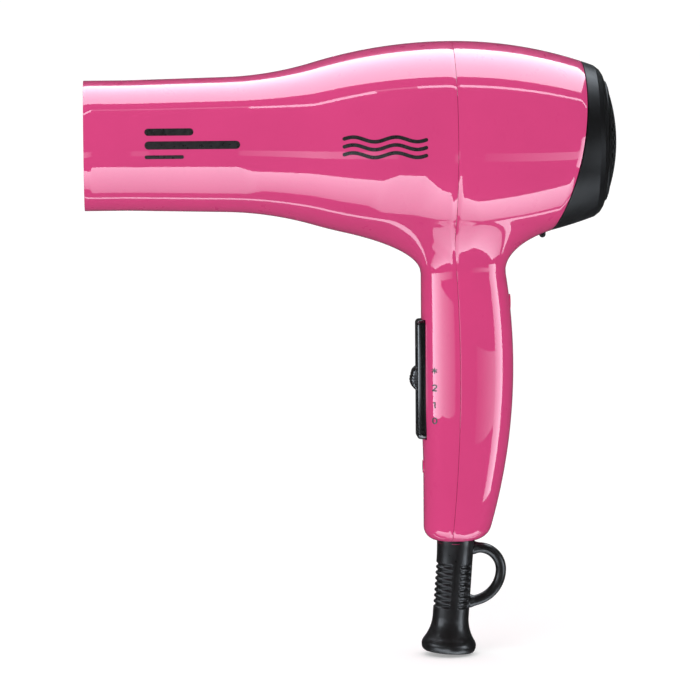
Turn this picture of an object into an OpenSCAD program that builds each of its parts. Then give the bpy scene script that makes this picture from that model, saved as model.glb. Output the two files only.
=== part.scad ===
// Hand-held hair dryer: two-piece housing, pull-off filter cap, slide switch,
// permanent-magnet motor with axial fan, mica-wound heater and a cord guard with hanging loop.
// Frame: origin at the centre of the nozzle mouth, barrel axis along X, air leaves towards -X,
// +Z up, the handle hangs down along -Z. Millimetres.

/* [Barrel and body] */
// Outside diameter of the nozzle collar
barrel_d = 54; // [52:0.5:56]
// Length of the cylindrical collar that attachments push on to
collar_length = 18; // [14:1:20]
// Outside diameter of the body at its widest
body_d = 84.2; // [82:0.2:88]
// Distance from the nozzle mouth to the housing seam
seam_x = 152.5; // [150:0.5:156]
// Slope of the barrel where it swells into the body, in degrees
swell_angle = 16.5; // [14:0.5:18]
// Radius of the outline in front of the seam
front_arc_r = 203; // [190:1:215]
// Radius of the outline behind the seam
rear_arc_r = 171.6; // [165:0.2:185]
// Housing wall thickness
wall = 2.2; // [1.8:0.1:2.6]

/* [Handle] */
// Front edge of the handle, measured from the nozzle mouth
handle_front_x = 139.5; // [138:0.5:142]
// Rearmost point of the handle, measured from the nozzle mouth
handle_rear_x = 178; // [176:0.5:180]
// Width of the handle across its middle
handle_w = 30; // [28:0.5:32]
// Height of the handle's underside below the barrel axis
handle_bottom = 166.8; // [164:0.1:170]

/* [Filter cap] */
// Radius of the curved parting edge between housing and cap
cap_edge_r = 152; // [145:1:160]
// Diameter of the domed inlet grille
grille_d = 50.4; // [48:0.2:51]
// Diameter of one grille hole
grille_hole_d = 2.6; // [2:0.1:3]

/* [Switch] */
// Length of the switch bezel
bezel_length = 50; // [46:1:54]
// Width of the switch bezel
bezel_w = 13.6; // [12:0.2:13.8]
// Distance between neighbouring switch positions
switch_step = 6.9; // [6:0.1:7]

/* [Cord guard] */
// Lean of the cord guard towards the nozzle, in degrees
guard_lean = 4.2; // [3:0.1:6]
// Diameter of the bore for the mains cord
cord_bore_d = 7.8; // [7:0.1:8.2]
// Diameter of the flared lower end
bell_d = 22.5; // [21:0.5:25]
// Number of flexing grooves
guard_grooves = 8; // [6:1:9]

/* [Motor and fan] */
// Number of fan blades
blades = 9; // [7:1:11]
// Diameter of the fan
fan_d = 60.4; // [58:0.2:61]
// Number of turns of heating wire
heater_turns = 11; // [8:1:12]

/* [Hidden] */
$fn = 96;

PINK = [0.88, 0.27, 0.50];
BLACK = [0.09, 0.09, 0.10];
MICA = [0.82, 0.76, 0.62];
STEEL = [0.72, 0.73, 0.75];
COPPER = [0.72, 0.42, 0.22];
BRASS = [0.80, 0.65, 0.30];

gap = 0.2;            // play between pieces that are put together by hand
over = 1;             // how far a cutting shape runs past what it cuts

// ---- outline of barrel and body -------------------------------------------------------
barrel_r = barrel_d / 2;
body_r = body_d / 2;
barrel_end_r = barrel_r + 1;     // the barrel widens a little towards the body
barrel_slope = 1.25;             // degrees
bore_r = barrel_r - wall;        // inside of the nozzle mouth

function polar(centre, r, a) = [centre[0] + r * cos(a), centre[1] + r * sin(a)];
function arc(centre, r, a0, a1, n) = [for (i = [0 : n]) polar(centre, r, a0 + (a1 - a0) * i / n)];

// Points are [x along the barrel, radius].
swell_end = [seam_x - front_arc_r * sin(swell_angle), body_r - front_arc_r * (1 - cos(swell_angle))];
swell_r = (swell_end[1] - barrel_end_r) / (cos(barrel_slope) - cos(swell_angle));
swell_start_x = swell_end[0] - swell_r * (sin(swell_angle) - sin(barrel_slope));
swell_centre = [swell_start_x - swell_r * sin(barrel_slope), barrel_end_r + swell_r * cos(barrel_slope)];
front_centre = [seam_x, body_r - front_arc_r];
rear_centre = [seam_x, body_r - rear_arc_r];
rear_arc_end_x = 206.6;
rear_arc_end_a = asin((rear_arc_end_x - seam_x) / rear_arc_r);
shoulder = [[211.8, 31.5], [213.9, 29.8], [215.1, 28], [215.8, 26]];

front_outline = concat(
    [[0, barrel_r], [collar_length, barrel_r]],
    arc(swell_centre, swell_r, barrel_slope - 90, swell_angle - 90, 7),
    arc(front_centre, front_arc_r, 89 + swell_angle, 90, 10));
rear_outline = arc(rear_centre, rear_arc_r, 90, 90 - rear_arc_end_a, 10);

function body_radius(x) = rear_centre[1] + sqrt(pow(rear_arc_r, 2) - pow(x - seam_x, 2));

// A flat [x, radius] outline turned about the barrel axis.
module spin(points) {
    rotate([0, 90, 0])
        rotate_extrude()
            polygon([for (p = points) [p[1], p[0]]]);
}

module solid_of(points) {
    first = points[0];
    last = points[len(points) - 1];
    spin(concat([[first[0], 0]], points, [[last[0], 0]]));
}

// A tube between two radii along the barrel axis.
module tube(x0, x1, r_out, r_in) {
    translate([x0, 0, 0])
        rotate([0, 90, 0])
            difference() {
                cylinder(h = x1 - x0, r = r_out);
                translate([0, 0, -over])
                    cylinder(h = x1 - x0 + 2 * over, r = r_in);
            }
}

module rod(x0, x1, r) {
    translate([x0, 0, 0])
        rotate([0, 90, 0])
            cylinder(h = x1 - x0, r = r);
}

// ---- handle ---------------------------------------------------------------------------
handle_neck_z = -54;             // where the straight handle starts below the flared neck
handle_mid_z = -93;              // where the handle is deepest
handle_back_r = 245;             // radius of the handle's back
flare_top_z = -42.6;             // the flare runs straight up into the body above this
handle_top_z = -24;
handle_edge_r = 5.5;             // rounding round the underside
section_power = 2.35;            // 2 would be an ellipse, more is squarer
handle_sides = 36;

function flare(z, depth, height) =
    let (rise = max(0, min(z, flare_top_z) - handle_neck_z) / height)
    depth * (1 - sqrt(1 - rise * rise));
function foot(z) =
    let (drop = max(0, -(z + handle_bottom - handle_edge_r)) / handle_edge_r)
    handle_edge_r * (1 - sqrt(max(0, 1 - drop * drop)));
function front_edge(z) =
    handle_front_x + 0.6 * max(0, min(1, (-112 - z) / 22)) - flare(z, 16, 12) + foot(z);
function rear_edge(z) =
    let (reach = min(z, handle_neck_z) - handle_mid_z)
    handle_rear_x - handle_back_r + sqrt(pow(handle_back_r, 2) - reach * reach)
    + flare(z, 12, 12.5) - foot(z) * 1.4;
function half_width(z) =
    handle_w / 2 - 0.00048 * pow(min(z, handle_neck_z) + 95, 2) + flare(z, 6, 12) - foot(z);

function power(v, e) = sign(v) * pow(abs(v), e);
function section(z, inset) =
    let (x0 = front_edge(z) + inset, x1 = rear_edge(z) - inset, w = half_width(z) - inset)
    [for (i = [0 : handle_sides - 1])
        let (a = 360 * i / handle_sides)
        [(x0 + x1) / 2 + (x1 - x0) / 2 * power(cos(a), 2 / section_power),
         w * power(sin(a), 2 / section_power), z]];

// Stack of closed rings with flat ends.
module loft(rings) {
    n = len(rings[0]);
    m = len(rings);
    points = [for (ring = rings) each ring];
    faces = concat(
        [[for (i = [0 : n - 1]) i]],
        [for (j = [0 : m - 2]) for (i = [0 : n - 1])
            each let (low = j * n, next = (i + 1) % n)
                [[low + i, low + n + i, low + n + next], [low + i, low + n + next, low + next]]],
        [[for (i = [n - 1 : -1 : 0]) (m - 1) * n + i]]);
    polyhedron(points = points, faces = faces);
}

module handle_form(inset) {
    low = -handle_bottom + inset;
    foot_zs = [for (a = [0 : 15 : 75]) low + (handle_edge_r - inset) * (1 - cos(a))];
    shank_low = handle_edge_r - handle_bottom;
    shank_zs = [for (i = [0 : 8]) shank_low + i * (handle_neck_z - shank_low) / 8];
    neck_zs = [-50.6, -48, -45.6, -43.8, flare_top_z, handle_top_z];
    loft([for (z = concat(foot_zs, shank_zs, neck_zs)) section(z, inset)]);
}

// ---- seam between the housings ----------------------------------------------------------
function seam_at(z) = let (s = max(0, -40 - z)) seam_x + 0.0825 * s - 0.00073 * s * s;
seam_points = [for (z = [-40 : -12 : -172]) [seam_at(z), z]];

// Everything in front of the seam, or behind it when behind is true.
module seam_side(behind) {
    far_x = behind ? 260 : -20;
    rotate([90, 0, 0])
        translate([0, 0, -60])
            linear_extrude(120)
                polygon(concat([[far_x, 60], [seam_x, 60]], seam_points, [[far_x, -172]]));
}

// ---- filter cap -----------------------------------------------------------------------
cap_edge_x = 206.7;              // rearmost point of the parting edge
cap_edge_z = 24.9;
dome_r = 67.8;
dome_top_x = 221.2;
cap_wall = 2;
spigot_r = 30.9;

// Everything in front of the curved parting edge.
module ahead_of_cap(extra = 0) {
    centre_x = cap_edge_x - cap_edge_r;
    translate([centre_x, 60, cap_edge_z])
        rotate([90, 0, 0])
            cylinder(h = 120, r = cap_edge_r + extra, $fn = 200);
    translate([centre_x, -60, -180])
        cube([190 - centre_x, 120, 135]);
}

// ---- switch ---------------------------------------------------------------------------
bezel_z = -98.7;                 // middle of the bezel
bezel_top = bezel_z + bezel_length / 2;
bezel_low = bezel_z - bezel_length / 2;
bezel_back_x = 141.2;
bezel_face_x = 137.3;            // furthest forward part of the bezel's face
knob_z = -98.3;                  // knob at its high setting
knob_h = 10.4;
knob_w = 10;
knob_face_x = 134.4;
stem_w = 2.8;
travel_up = switch_step;
travel_down = 2 * switch_step;

// ---- release button, screws -------------------------------------------------------------
release_x = 190.5;
release_tip_z = -38.8;
upper_screw_z = -67.2;
lower_screw_z = -135.6;
screw_r = 1.35;
screw_head_r = 2.5;
boss_r = 3.8;
screw_floor_x = 170;             // bottom of the upper screw's recess
clamp_z = -148.6;
clamp_screw_y = 5.6;
cord_x = 155;                    // middle of the cord where the clamp holds it

// A cylinder along X at height z, from x0 to x1.
module bar(x0, x1, r, z, y = 0) {
    translate([x0, y, z])
        rotate([0, 90, 0])
            cylinder(h = x1 - x0, r = r, $fn = 48);
}

module front_housing() {
    color(PINK)
        difference() {
            union() {
                difference() {
                    intersection() {
                        union() {
                            solid_of(front_outline);
                            handle_form(0);
                        }
                        seam_side(false);
                    }
                    solid_of(concat([[-over, bore_r], [collar_length, bore_r]],
                        [for (p = front_outline) if (p[0] > collar_length) [p[0], p[1] - wall]],
                        [[seam_x + over, body_r - wall]]));
                    handle_form(wall);
                }
                tube(108, 110, 35.5, 25);
                bar(bezel_back_x, 160, boss_r, upper_screw_z);
                bar(bezel_back_x, 149.8, boss_r, lower_screw_z);
                translate([bezel_back_x + 0.1, -7.4, bezel_low - 1])
                    cube([1.8, 14.8, bezel_length + 2]);
            }
            bar(146, 161, screw_r + 0.05, upper_screw_z);
            bar(138, 144.6, screw_head_r + 0.3, lower_screw_z);
            bar(144, 151, screw_r + 0.25, lower_screw_z);
            switch_pocket();
            guard_socket();
        }
}

// Pocket in the handle's front for the bezel, and the window behind it.
module switch_pocket() {
    translate([130, -bezel_w / 2 - 0.1, bezel_low - 0.1])
        cube([bezel_back_x + 0.1 - 130, bezel_w + 0.2, bezel_length + 0.2]);
    translate([130, -3.4, bezel_z - 20])
        cube([16, 6.8, 40]);
}

module rear_housing() {
    color(PINK)
        difference() {
            union() {
                difference() {
                    intersection() {
                        union() {
                            solid_of(rear_outline);
                            handle_form(0);
                        }
                        seam_side(true);
                        ahead_of_cap();
                    }
                    solid_of(concat([[seam_x - over, body_r - wall]],
                        [for (p = rear_outline) [p[0], p[1] - wall]],
                        [[rear_arc_end_x + 2, body_radius(rear_arc_end_x) - wall]]));
                    handle_form(wall);
                }
                tube(174, 176, 39.2, duct_r + 0.1);
                bar(160.2, 175.4, boss_r, upper_screw_z);
                bar(150, 172.6, boss_r, lower_screw_z);
                translate([cord_x + 0.4, -9, clamp_z - 2])
                    cube([168.4 - cord_x - 0.4, 18, 4]);
            }
            bar(160, 176, screw_r + 0.25, upper_screw_z);
            bar(screw_floor_x, 185, screw_head_r + 0.3, upper_screw_z);
            bar(149, 168, screw_r + 0.05, lower_screw_z);
            for (side = [-1, 1])
                bar(cord_x, 167, screw_r + 0.05, clamp_z, side * clamp_screw_y);
            cord_way();
            translate([release_x, 0, -45])
                cylinder(h = 14, r = 1.55, $fn = 48);
            guard_socket();
        }
}

module cap_ring() {
    lip_x = shoulder[3][0];
    outline = concat([for (x = [192 : 3.65 : rear_arc_end_x]) [x, body_radius(x)]], shoulder);
    inner = concat([for (x = [190 : 4 : 210]) [x, body_radius(x) - cap_wall - 0.2]],
        [[213.2, 28], [213.2, 24], [lip_x + 3, 24]]);
    color(BLACK)
        difference() {
            union() {
                difference() {
                    solid_of(outline);
                    solid_of(inner);
                    ahead_of_cap(0.3);
                }
                tube(199, 212.2, spigot_r, spigot_r - 1.4);
            }
            rod(215, lip_x + 3, grille_d / 2 + 0.05);
        }
}

module inlet_grille() {
    rings = 5;
    ring_step = 22 / rings;
    thickness = 1.3;
    rim_r = grille_d / 2;
    centre = [dome_top_x - dome_r, 0];
    rim_angle = asin(rim_r / dome_r);
    color(BLACK)
        difference() {
            spin(concat([centre + [dome_r - thickness, 0]], arc(centre, dome_r, 0, rim_angle, 5),
                [for (i = [5 : -1 : 1]) polar(centre, dome_r - thickness, rim_angle * i / 5)]));
            rod(212, 224, grille_hole_d / 2);
            for (ring = [1 : rings])
                for (i = [0 : 6 * ring - 1])
                    rotate([60 * i / ring, 0, 0])
                        bar(212, 224, grille_hole_d / 2, ring * ring_step);
        }
}

module lint_screen() {
    color(STEEL) {
        tube(208.5, 210, 29.3, 26.5);
        tube(209, 209.4, 26.5, 0.8);
        rod(208.5, 210, 0.8);
    }
}

module cap_release_button() {
    color(BLACK)
        translate([release_x, 0, 0]) {
            translate([0, 0, release_tip_z])
                cylinder(h = 4.6, r = 1.35, $fn = 48);
            translate([0, 0, release_tip_z])
                sphere(r = 1.35, $fn = 48);
            translate([0, 0, -35])
                cylinder(h = 0.8, r = 2.4, $fn = 48);
        }
}

module release_spring() {
    color(STEEL)
        translate([release_x, 0, -34.15])
            difference() {
                cylinder(h = 1.5, r = 2.1, $fn = 48);
                translate([0, 0, -over])
                    cylinder(h = 4, r = 1.7, $fn = 48);
            }
}

module outlet_grille() {
    x0 = 12.5;
    x1 = 15;
    ring_r = bore_r - 0.1;
    color(BLACK)
        union() {
            tube(x0, x1, ring_r, ring_r - 1.6);
            for (r = [4, 8.2, 12.4, 16.6, 20.6])
                tube(x0, x1, r + 0.45, r - 0.45);
            for (a = [0 : 60 : 300])
                rotate([a, 0, 0])
                    translate([x0, -0.5, 4])
                        cube([x1 - x0, 1, ring_r - 5]);
        }
}

// ---- heater ---------------------------------------------------------------------------
heater_x0 = 24;
heater_x1 = 104;
vane_r = 20.6;
coil_r = 19.9;
coil_wire_r = 0.55;
coil_pitch = (heater_x1 - heater_x0 - 16) / heater_turns;
coil_x0 = heater_x0 + 6;
mica_bore_r = 22.8;

module mica_tube() {
    color(MICA)
        tube(19, 112, mica_bore_r + 0.6, mica_bore_r);
}

module heater_frame() {
    color(MICA)
        difference() {
            for (a = [0 : 60 : 120])
                rotate([a, 0, 0]) {
                    translate([heater_x0, -0.4, -vane_r])
                        cube([heater_x1 - heater_x0, 0.8, 2 * vane_r]);
                    for (x = [heater_x0, heater_x1 - 3])
                        translate([x, -0.4, -mica_bore_r + 0.1])
                            cube([3, 0.8, 2 * mica_bore_r - 0.2]);
                }
            for (i = [0 : 6 * heater_turns])
                rotate([60 * i, 0, 0])
                    translate([coil_x0 + coil_pitch * i / 6 - 0.9, -1, coil_r - 1])
                        cube([1.8, 2, 3]);
        }
}

function unit(v) = v / norm(v);
// Tube swept along a list of points, with flat ends. The path never runs parallel to across.
module swept(points, r, sides, across) {
    last = len(points) - 1;
    loft([for (k = [0 : last])
        let (t = unit(points[min(k + 1, last)] - points[max(k - 1, 0)]),
             side = unit(cross(t, across)),
             up = cross(t, side))
        [for (i = [0 : sides - 1])
            let (a = 360 * i / sides)
            points[k] + r * (cos(a) * side + sin(a) * up)]]);
}

// Heating wire: straight runs from notch to notch of the six mica edges.
module heater_coil() {
    color(STEEL)
        swept([for (i = [0 : 6 * heater_turns])
            [coil_x0 + coil_pitch * i / 6, -coil_r * sin(60 * i), coil_r * cos(60 * i)]],
            coil_wire_r, 6, [1, 0, 0]);
}

module thermostat() {
    color(STEEL)
        translate([90, 0.45, 7.5]) {
            cube([8, 2.4, 5]);
            translate([1, 2.4, 0.5])
                cube([6, 0.6, 4]);
        }
}

module thermal_fuse() {
    color(STEEL) {
        bar(84, 94, 1.6, -10, -2.1);
        bar(77, 84, 0.4, -10, -2.1);
        bar(94, 101, 0.4, -10, -2.1);
    }
}

// ---- motor and fan ----------------------------------------------------------------------
duct_r = 32.6;
duct_bore_r = 31.2;
holder_r = 15.8;
can_r = 13.9;
can_x0 = 146;
can_x1 = 177;
holder_x1 = 180;
shaft_r = 1.2;
shaft_x1 = 195;
fan_x0 = 182.5;
hub_r = 10;
motor_screw_y = 8.5;
tab_y = 9;

module air_guide() {
    color(BLACK)
        spin([[106, 23.6], [106, 24.8], [113, 24.8], [118, 26.4], [160, 33.9], [170, 34.1],
            [170, 32.9], [162.5, 32.8], [118, 25.1], [113, 23.6]]);
}

module motor_holder() {
    vanes = 7;
    color(BLACK)
        union() {
            tube(164, 197, duct_r, duct_bore_r);
            difference() {
                rod(150, holder_x1, holder_r);
                rod(149, can_x1 + 0.2, can_r + 0.1);
                rod(170, 185, 5.2);
                for (side = [-1, 1])
                    bar(170, 185, 1.3, 0, side * motor_screw_y);
            }
            for (a = [0 : 360 / vanes : 359])
                rotate([a, 0, 0])
                    translate([165, -0.7, holder_r - 0.4])
                        cube([14, 1.4, duct_bore_r - holder_r + 0.8]);
        }
}

module motor_can() {
    color(STEEL)
        difference() {
            union() {
                rod(can_x0, can_x1, can_r);
                rod(can_x1 - 1, 179.6, 5);
            }
            rod(can_x0 - over, can_x1 - 1.2, can_r - 1);
            rod(170, 181, 3);
            for (side = [-1, 1])
                bar(170, 181, 1.15, 0, side * motor_screw_y);
        }
}

module motor_end_cap() {
    color(BLACK)
        difference() {
            rod(142.6, can_x0 - 0.05, can_r - 0.2);
            rod(140, 147, 3);
            for (side = [-1, 1])
                translate([140, side * tab_y - 1.5, -0.6])
                    cube([8, 3, 1.2]);
        }
}

module motor_terminals() {
    color(BRASS)
        for (side = [-1, 1])
            translate([139.85, side * tab_y - 1.3, -0.4])
                cube([5.8, 2.6, 0.8]);
}

module motor_magnets() {
    color(BLACK * 2)
        difference() {
            tube(150, 172, can_r - 1.05, 10.4);
            translate([140, -2.5, -20])
                cube([40, 5, 40]);
        }
}

module motor_brushes() {
    color(BLACK * 3)
        for (side = [-1, 1])
            translate([147.2, side > 0 ? 3.25 : -8.25, -1.3])
                cube([2.4, 5, 2.6]);
}

module fan_side_bush() {
    color(BRASS)
        tube(175.9, 179.6, 2.98, shaft_r + 0.05);
}

module brush_side_bush() {
    color(BRASS)
        tube(142.6, 145.9, 2.98, shaft_r + 0.05);
}

module motor_screws() {
    color(STEEL)
        for (side = [-1, 1]) {
            bar(holder_x1, 181.2, 2.1, 0, side * motor_screw_y);
            bar(can_x1 - 1.1, holder_x1, 1.1, 0, side * motor_screw_y);
        }
}

module rectifier_board() {
    color([0.15, 0.35, 0.2])
        tube(138.4, 139.8, 12, 3.2);
}

module rectifier_diodes() {
    color(BLACK)
        for (a = [45 : 90 : 315])
            rotate([a, 0, 0])
                translate([136.9, -2.6, 8])
                    rotate([-90, 0, 0])
                        cylinder(h = 5.2, r = 1.35, $fn = 32);
}

module motor_shaft() {
    color(STEEL)
        rod(141.4, shaft_x1, shaft_r);
}

module armature_core() {
    teeth = 5;
    color(STEEL * 0.7)
        difference() {
            rod(153, 169, 9.9);
            rod(152, 170, shaft_r);
            for (a = [0 : 360 / teeth : 359])
                rotate([a, 0, 0]) {
                    translate([152, -1.1, 6])
                        cube([18, 2.2, 6]);
                    bar(152, 170, 2.3, 6);
                }
        }
}

module armature_windings() {
    color(COPPER) {
        tube(150.2, 152.9, 8.6, shaft_r);
        tube(169.1, 172.2, 8.6, shaft_r);
    }
}

module commutator() {
    color(COPPER)
        tube(146.6, 150.1, 3.1, shaft_r);
}

module fan_impeller() {
    pitch_angle = 38;
    chord = 13;
    nose_x = 192.5;
    nose_r = 11.5;
    color(BLACK)
        difference() {
            union() {
                spin(concat([[fan_x0, 0], [fan_x0, hub_r], [nose_x, hub_r]],
                    [for (a = [50 : -10 : 0]) polar([nose_x - nose_r * cos(60), 0], nose_r, a)]));
                intersection() {
                    for (a = [0 : 360 / blades : 359])
                        rotate([a, 0, 0])
                            translate([188, 0, hub_r - 1.6])
                                rotate([0, 0, pitch_angle])
                                    translate([-chord / 2, -0.65, 0])
                                        cube([chord, 1.3, 24]);
                    rod(180, 196, fan_d / 2);
                }
            }
            rod(fan_x0 - over, shaft_x1, shaft_r);
            tube(fan_x0 - over, 190, hub_r - 2.4, 3.5);
        }
}

// ---- switch pieces ----------------------------------------------------------------------
module switch_bezel() {
    face = [[bezel_back_x, bezel_top], [138.6, bezel_top], [138.15, bezel_top - 0.6],
        [bezel_face_x, bezel_top - 20], [bezel_face_x, bezel_low + 4],
        [bezel_face_x + 0.1, bezel_low + 0.6], [bezel_face_x + 0.6, bezel_low], [bezel_back_x, bezel_low]];
    color(BLACK)
        difference() {
            translate([0, bezel_w / 2, 0])
                rotate([90, 0, 0])
                    linear_extrude(bezel_w)
                        polygon(face);
            translate([130, -stem_w / 2 - gap, knob_z - travel_down - 2.4])
                cube([16, stem_w + 2 * gap, travel_up + travel_down + 4.8]);
        }
}

module slider_knob() {
    low = knob_z - knob_h / 2;
    top = knob_z + knob_h / 2;
    back = bezel_face_x - gap;
    side_view = [[back, low], [back - 1, low + 0.6], [knob_face_x + 0.5, low + 3.2],
        [knob_face_x, low + 4.6], [knob_face_x, top - 2.6], [knob_face_x + 0.7, top - 1.1], [back - 0.8, top - 0.4], [back, top]];
    color(BLACK)
        union() {
            difference() {
                translate([0, knob_w / 2, 0])
                    rotate([90, 0, 0])
                        linear_extrude(knob_w)
                            polygon(side_view);
                for (z = [low + 3.4, low + 5, low + 6.6])
                    translate([knob_face_x - 0.2, 10, z])
                        rotate([90, 0, 0])
                            cylinder(h = 20, r = 0.5, $fn = 24);
            }
            translate([back - 1, -stem_w / 2, knob_z - 1.2])
                cube([146 - back + 1, stem_w, 2.4]);
        }
}

switch_x0 = 143.2;
switch_x1 = 152.5;

module switch_body() {
    color(BLACK)
        difference() {
            translate([switch_x0, -5.7, -119])
                cube([switch_x1 - switch_x0, 11.4, 40]);
            translate([switch_x0 - over, -2, -116])
                cube([7, 4, 34]);
            translate([145.8, -4.3, -117.5])
                cube([4.2, 8.6, 37]);
        }
}

module contact_slider() {
    color(BRASS)
        translate([146.1, -4, knob_z - 3])
            cube([3.4, 8, 6]);
}

module switch_terminals() {
    color(BRASS)
        for (z = [-114, -106, -98, -90])
            translate([switch_x1, -2, z])
                cube([4, 4, 0.8]);
}

// ---- cord guard -------------------------------------------------------------------------
guard_top = [153.5, -168.1];     // [x, z] of the guard's axis at the handle's underside
guard_length = 46.2;
guard_neck_r = 7.9;
guard_r = 7.6;
bore_low = -38;                  // where the cord bore opens into the bell, on the guard's axis
loop_r = 2.2;

// Places its children on the guard's own axis: +Z runs up the axis from the handle's underside.
module on_guard_axis() {
    translate([guard_top[0], 0, guard_top[1]])
        rotate([0, guard_lean, 0])
            children();
}

// Hole in the handle's underside, with the seat for the guard's collar above it.
module guard_socket() {
    on_guard_axis()
        translate([0, 0, -8])
            cylinder(h = 20, r = guard_neck_r + gap);
}

module strain_relief() {
    outline = concat(
        [[0, 8.4], [9.2, 8.4], [9.2, 5], [guard_neck_r, 5], [guard_neck_r, 0], [guard_r, -7]],
        arc([guard_r + 14, -32], 14, 180, 222, 5),
        [[bell_d / 2, -42.9], [bell_d / 2, -44.8]],
        [[bell_d / 2 - 0.9, -guard_length], [0, -guard_length]]);
    groove_pitch = 2.42;
    color(BLACK)
        difference() {
            union() {
                on_guard_axis()
                    rotate_extrude()
                        polygon(outline);
                hanging_loop();
            }
            on_guard_axis() {
                translate([0, 0, -guard_length - over])
                    cylinder(h = 70, d = cord_bore_d);
                rotate_extrude()
                    polygon(concat([[0, -guard_length - over], [9.2, -guard_length - over]],
                        arc([cord_bore_d / 2 + 7.7, bore_low], 7.7, 250, 180, 5), [[0, bore_low]]));
                for (i = [0 : guard_grooves - 1])
                    translate([0, 0, -9.4 - i * groove_pitch])
                        flexing_groove();
            }
        }
}

// Open to the front and to the rear, broken by a plain band along each side and by the loop.
module flexing_groove() {
    difference() {
        cylinder(h = 1.1, r = 12, center = true);
        cylinder(h = 3, r = guard_r - 0.7, center = true);
        translate([-1.4, -20, -2])
            cube([4.2, 40, 4]);
        translate([4, -2.6, -2])
            cube([10, 5.2, 4]);
    }
}

// D-shaped loop: a straight leg, then two quarter turns that end in the guard.
module hanging_loop() {
    small_r = 9.2;
    large_r = 13.4;
    top_z = -170.3;
    turn = [163.3, top_z - small_r];
    big_turn_x = turn[0] + small_r - large_r;
    bar(155, turn[0], loop_r, top_z);
    quarter_ring([turn[0], turn[1]], small_r, 0);
    quarter_ring([big_turn_x, turn[1]], large_r, -90);
    bar(156, big_turn_x, loop_r, turn[1] - large_r);
}

module quarter_ring(centre, r, start) {
    translate([centre[0], 0, centre[1]])
        rotate([90, 0, 0])
            rotate([0, 0, start])
                rotate_extrude(angle = 90)
                    translate([r, 0])
                        circle(r = loop_r, $fn = 48);
}

module cord_clamp() {
    color(BLACK)
        difference() {
            translate([146.5, -8.8, clamp_z - 2])
                cube([cord_x - 0.4 - 146.5, 17.6, 4]);
            for (side = [-1, 1])
                bar(140, 160, screw_r + 0.15, clamp_z, side * clamp_screw_y);
            cord_way();
        }
}

// Room for the mains cord through the clamp.
module cord_way() {
    translate([cord_x, 0, clamp_z - 6])
        cylinder(h = 12, d = cord_bore_d);
}

module cord_clamp_screws() {
    color(STEEL)
        for (side = [-1, 1]) {
            bar(146.45, 165, screw_r, clamp_z, side * clamp_screw_y);
            bar(145.2, 146.45, 2, clamp_z, side * clamp_screw_y);
        }
}

module housing_screws() {
    color(STEEL) {
        difference() {
            bar(screw_floor_x + 0.02, screw_floor_x + 1.8, screw_head_r, upper_screw_z);
            cross_slot(screw_floor_x + 0.8, upper_screw_z);
        }
        bar(151, screw_floor_x + 0.02, screw_r, upper_screw_z);
        difference() {
            bar(142.8, 144.58, screw_head_r, lower_screw_z);
            cross_slot(140.8, lower_screw_z);
        }
        bar(144.58, 162, screw_r, lower_screw_z);
    }
}

module cross_slot(x, z) {
    translate([x, -1.6, z - 0.3])
        cube([3, 3.2, 0.6]);
    translate([x, -0.3, z - 1.6])
        cube([3, 0.6, 3.2]);
}

module screw_plug() {
    color(PINK)
        bar(139.8, 141.8, screw_head_r + 0.2, lower_screw_z);
}

module lead(points) {
    swept(points, 0.9, 8, [0, 1, 0]);
}

module line_lead() {
    color([0.35, 0.2, 0.12])
        lead([[155, -2, -145], [156.8, -5.4, -139.5], [157.4, -5.8, -132], [158.4, -3.4, -121],
            [157.6, -0.6, -113.6]]);
}

module neutral_lead() {
    color([0.15, 0.3, 0.6])
        lead([[155, 2, -145], [156.8, 5.4, -139.5], [157.4, 5.8, -132], [160, 5.8, -110],
            [161, 5.8, -85], [160, 5.8, -62], [158, 5.8, -50], [154, 5.4, -39.5], [147, 5, -36.4],
            [135, 4, -33.4], [118, 3, -29.6]]);
}

module heater_lead() {
    color(BLACK)
        lead([[157.6, -0.6, -89.6], [160, -3.2, -80], [160.4, -5.8, -68], [159.6, -5.8, -58],
            [158, -5.8, -50], [154, -5.4, -39.5], [147, -5, -36.4], [135, -4, -33.4], [118, -3, -29.6]]);
}

front_housing();
rear_housing();
cap_ring();
inlet_grille();
lint_screen();
cap_release_button();
release_spring();
outlet_grille();
mica_tube();
heater_frame();
heater_coil();
thermostat();
thermal_fuse();
air_guide();
motor_holder();
motor_can();
motor_end_cap();
motor_magnets();
motor_brushes();
motor_terminals();
fan_side_bush();
brush_side_bush();
motor_screws();
rectifier_board();
rectifier_diodes();
motor_shaft();
armature_core();
armature_windings();
commutator();
fan_impeller();
switch_bezel();
slider_knob();
contact_slider();
switch_body();
switch_terminals();
strain_relief();
cord_clamp();
cord_clamp_screws();
housing_screws();
screw_plug();
line_lead();
neutral_lead();
heater_lead();
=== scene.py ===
"""Looks of a hand-held hair dryer: glossy two-piece housing, satin filter cap, ribbed cord guard.

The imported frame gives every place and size. Lengths below are in millimetres unless a name ends
in _m, and mesh_piece() turns them into metres. X runs along the barrel from the nozzle mouth,
+Z is up and the camera stands on the -Y side.
"""
import math

import bmesh
import bpy
import numpy as np
from mathutils import Matrix, Vector


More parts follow.
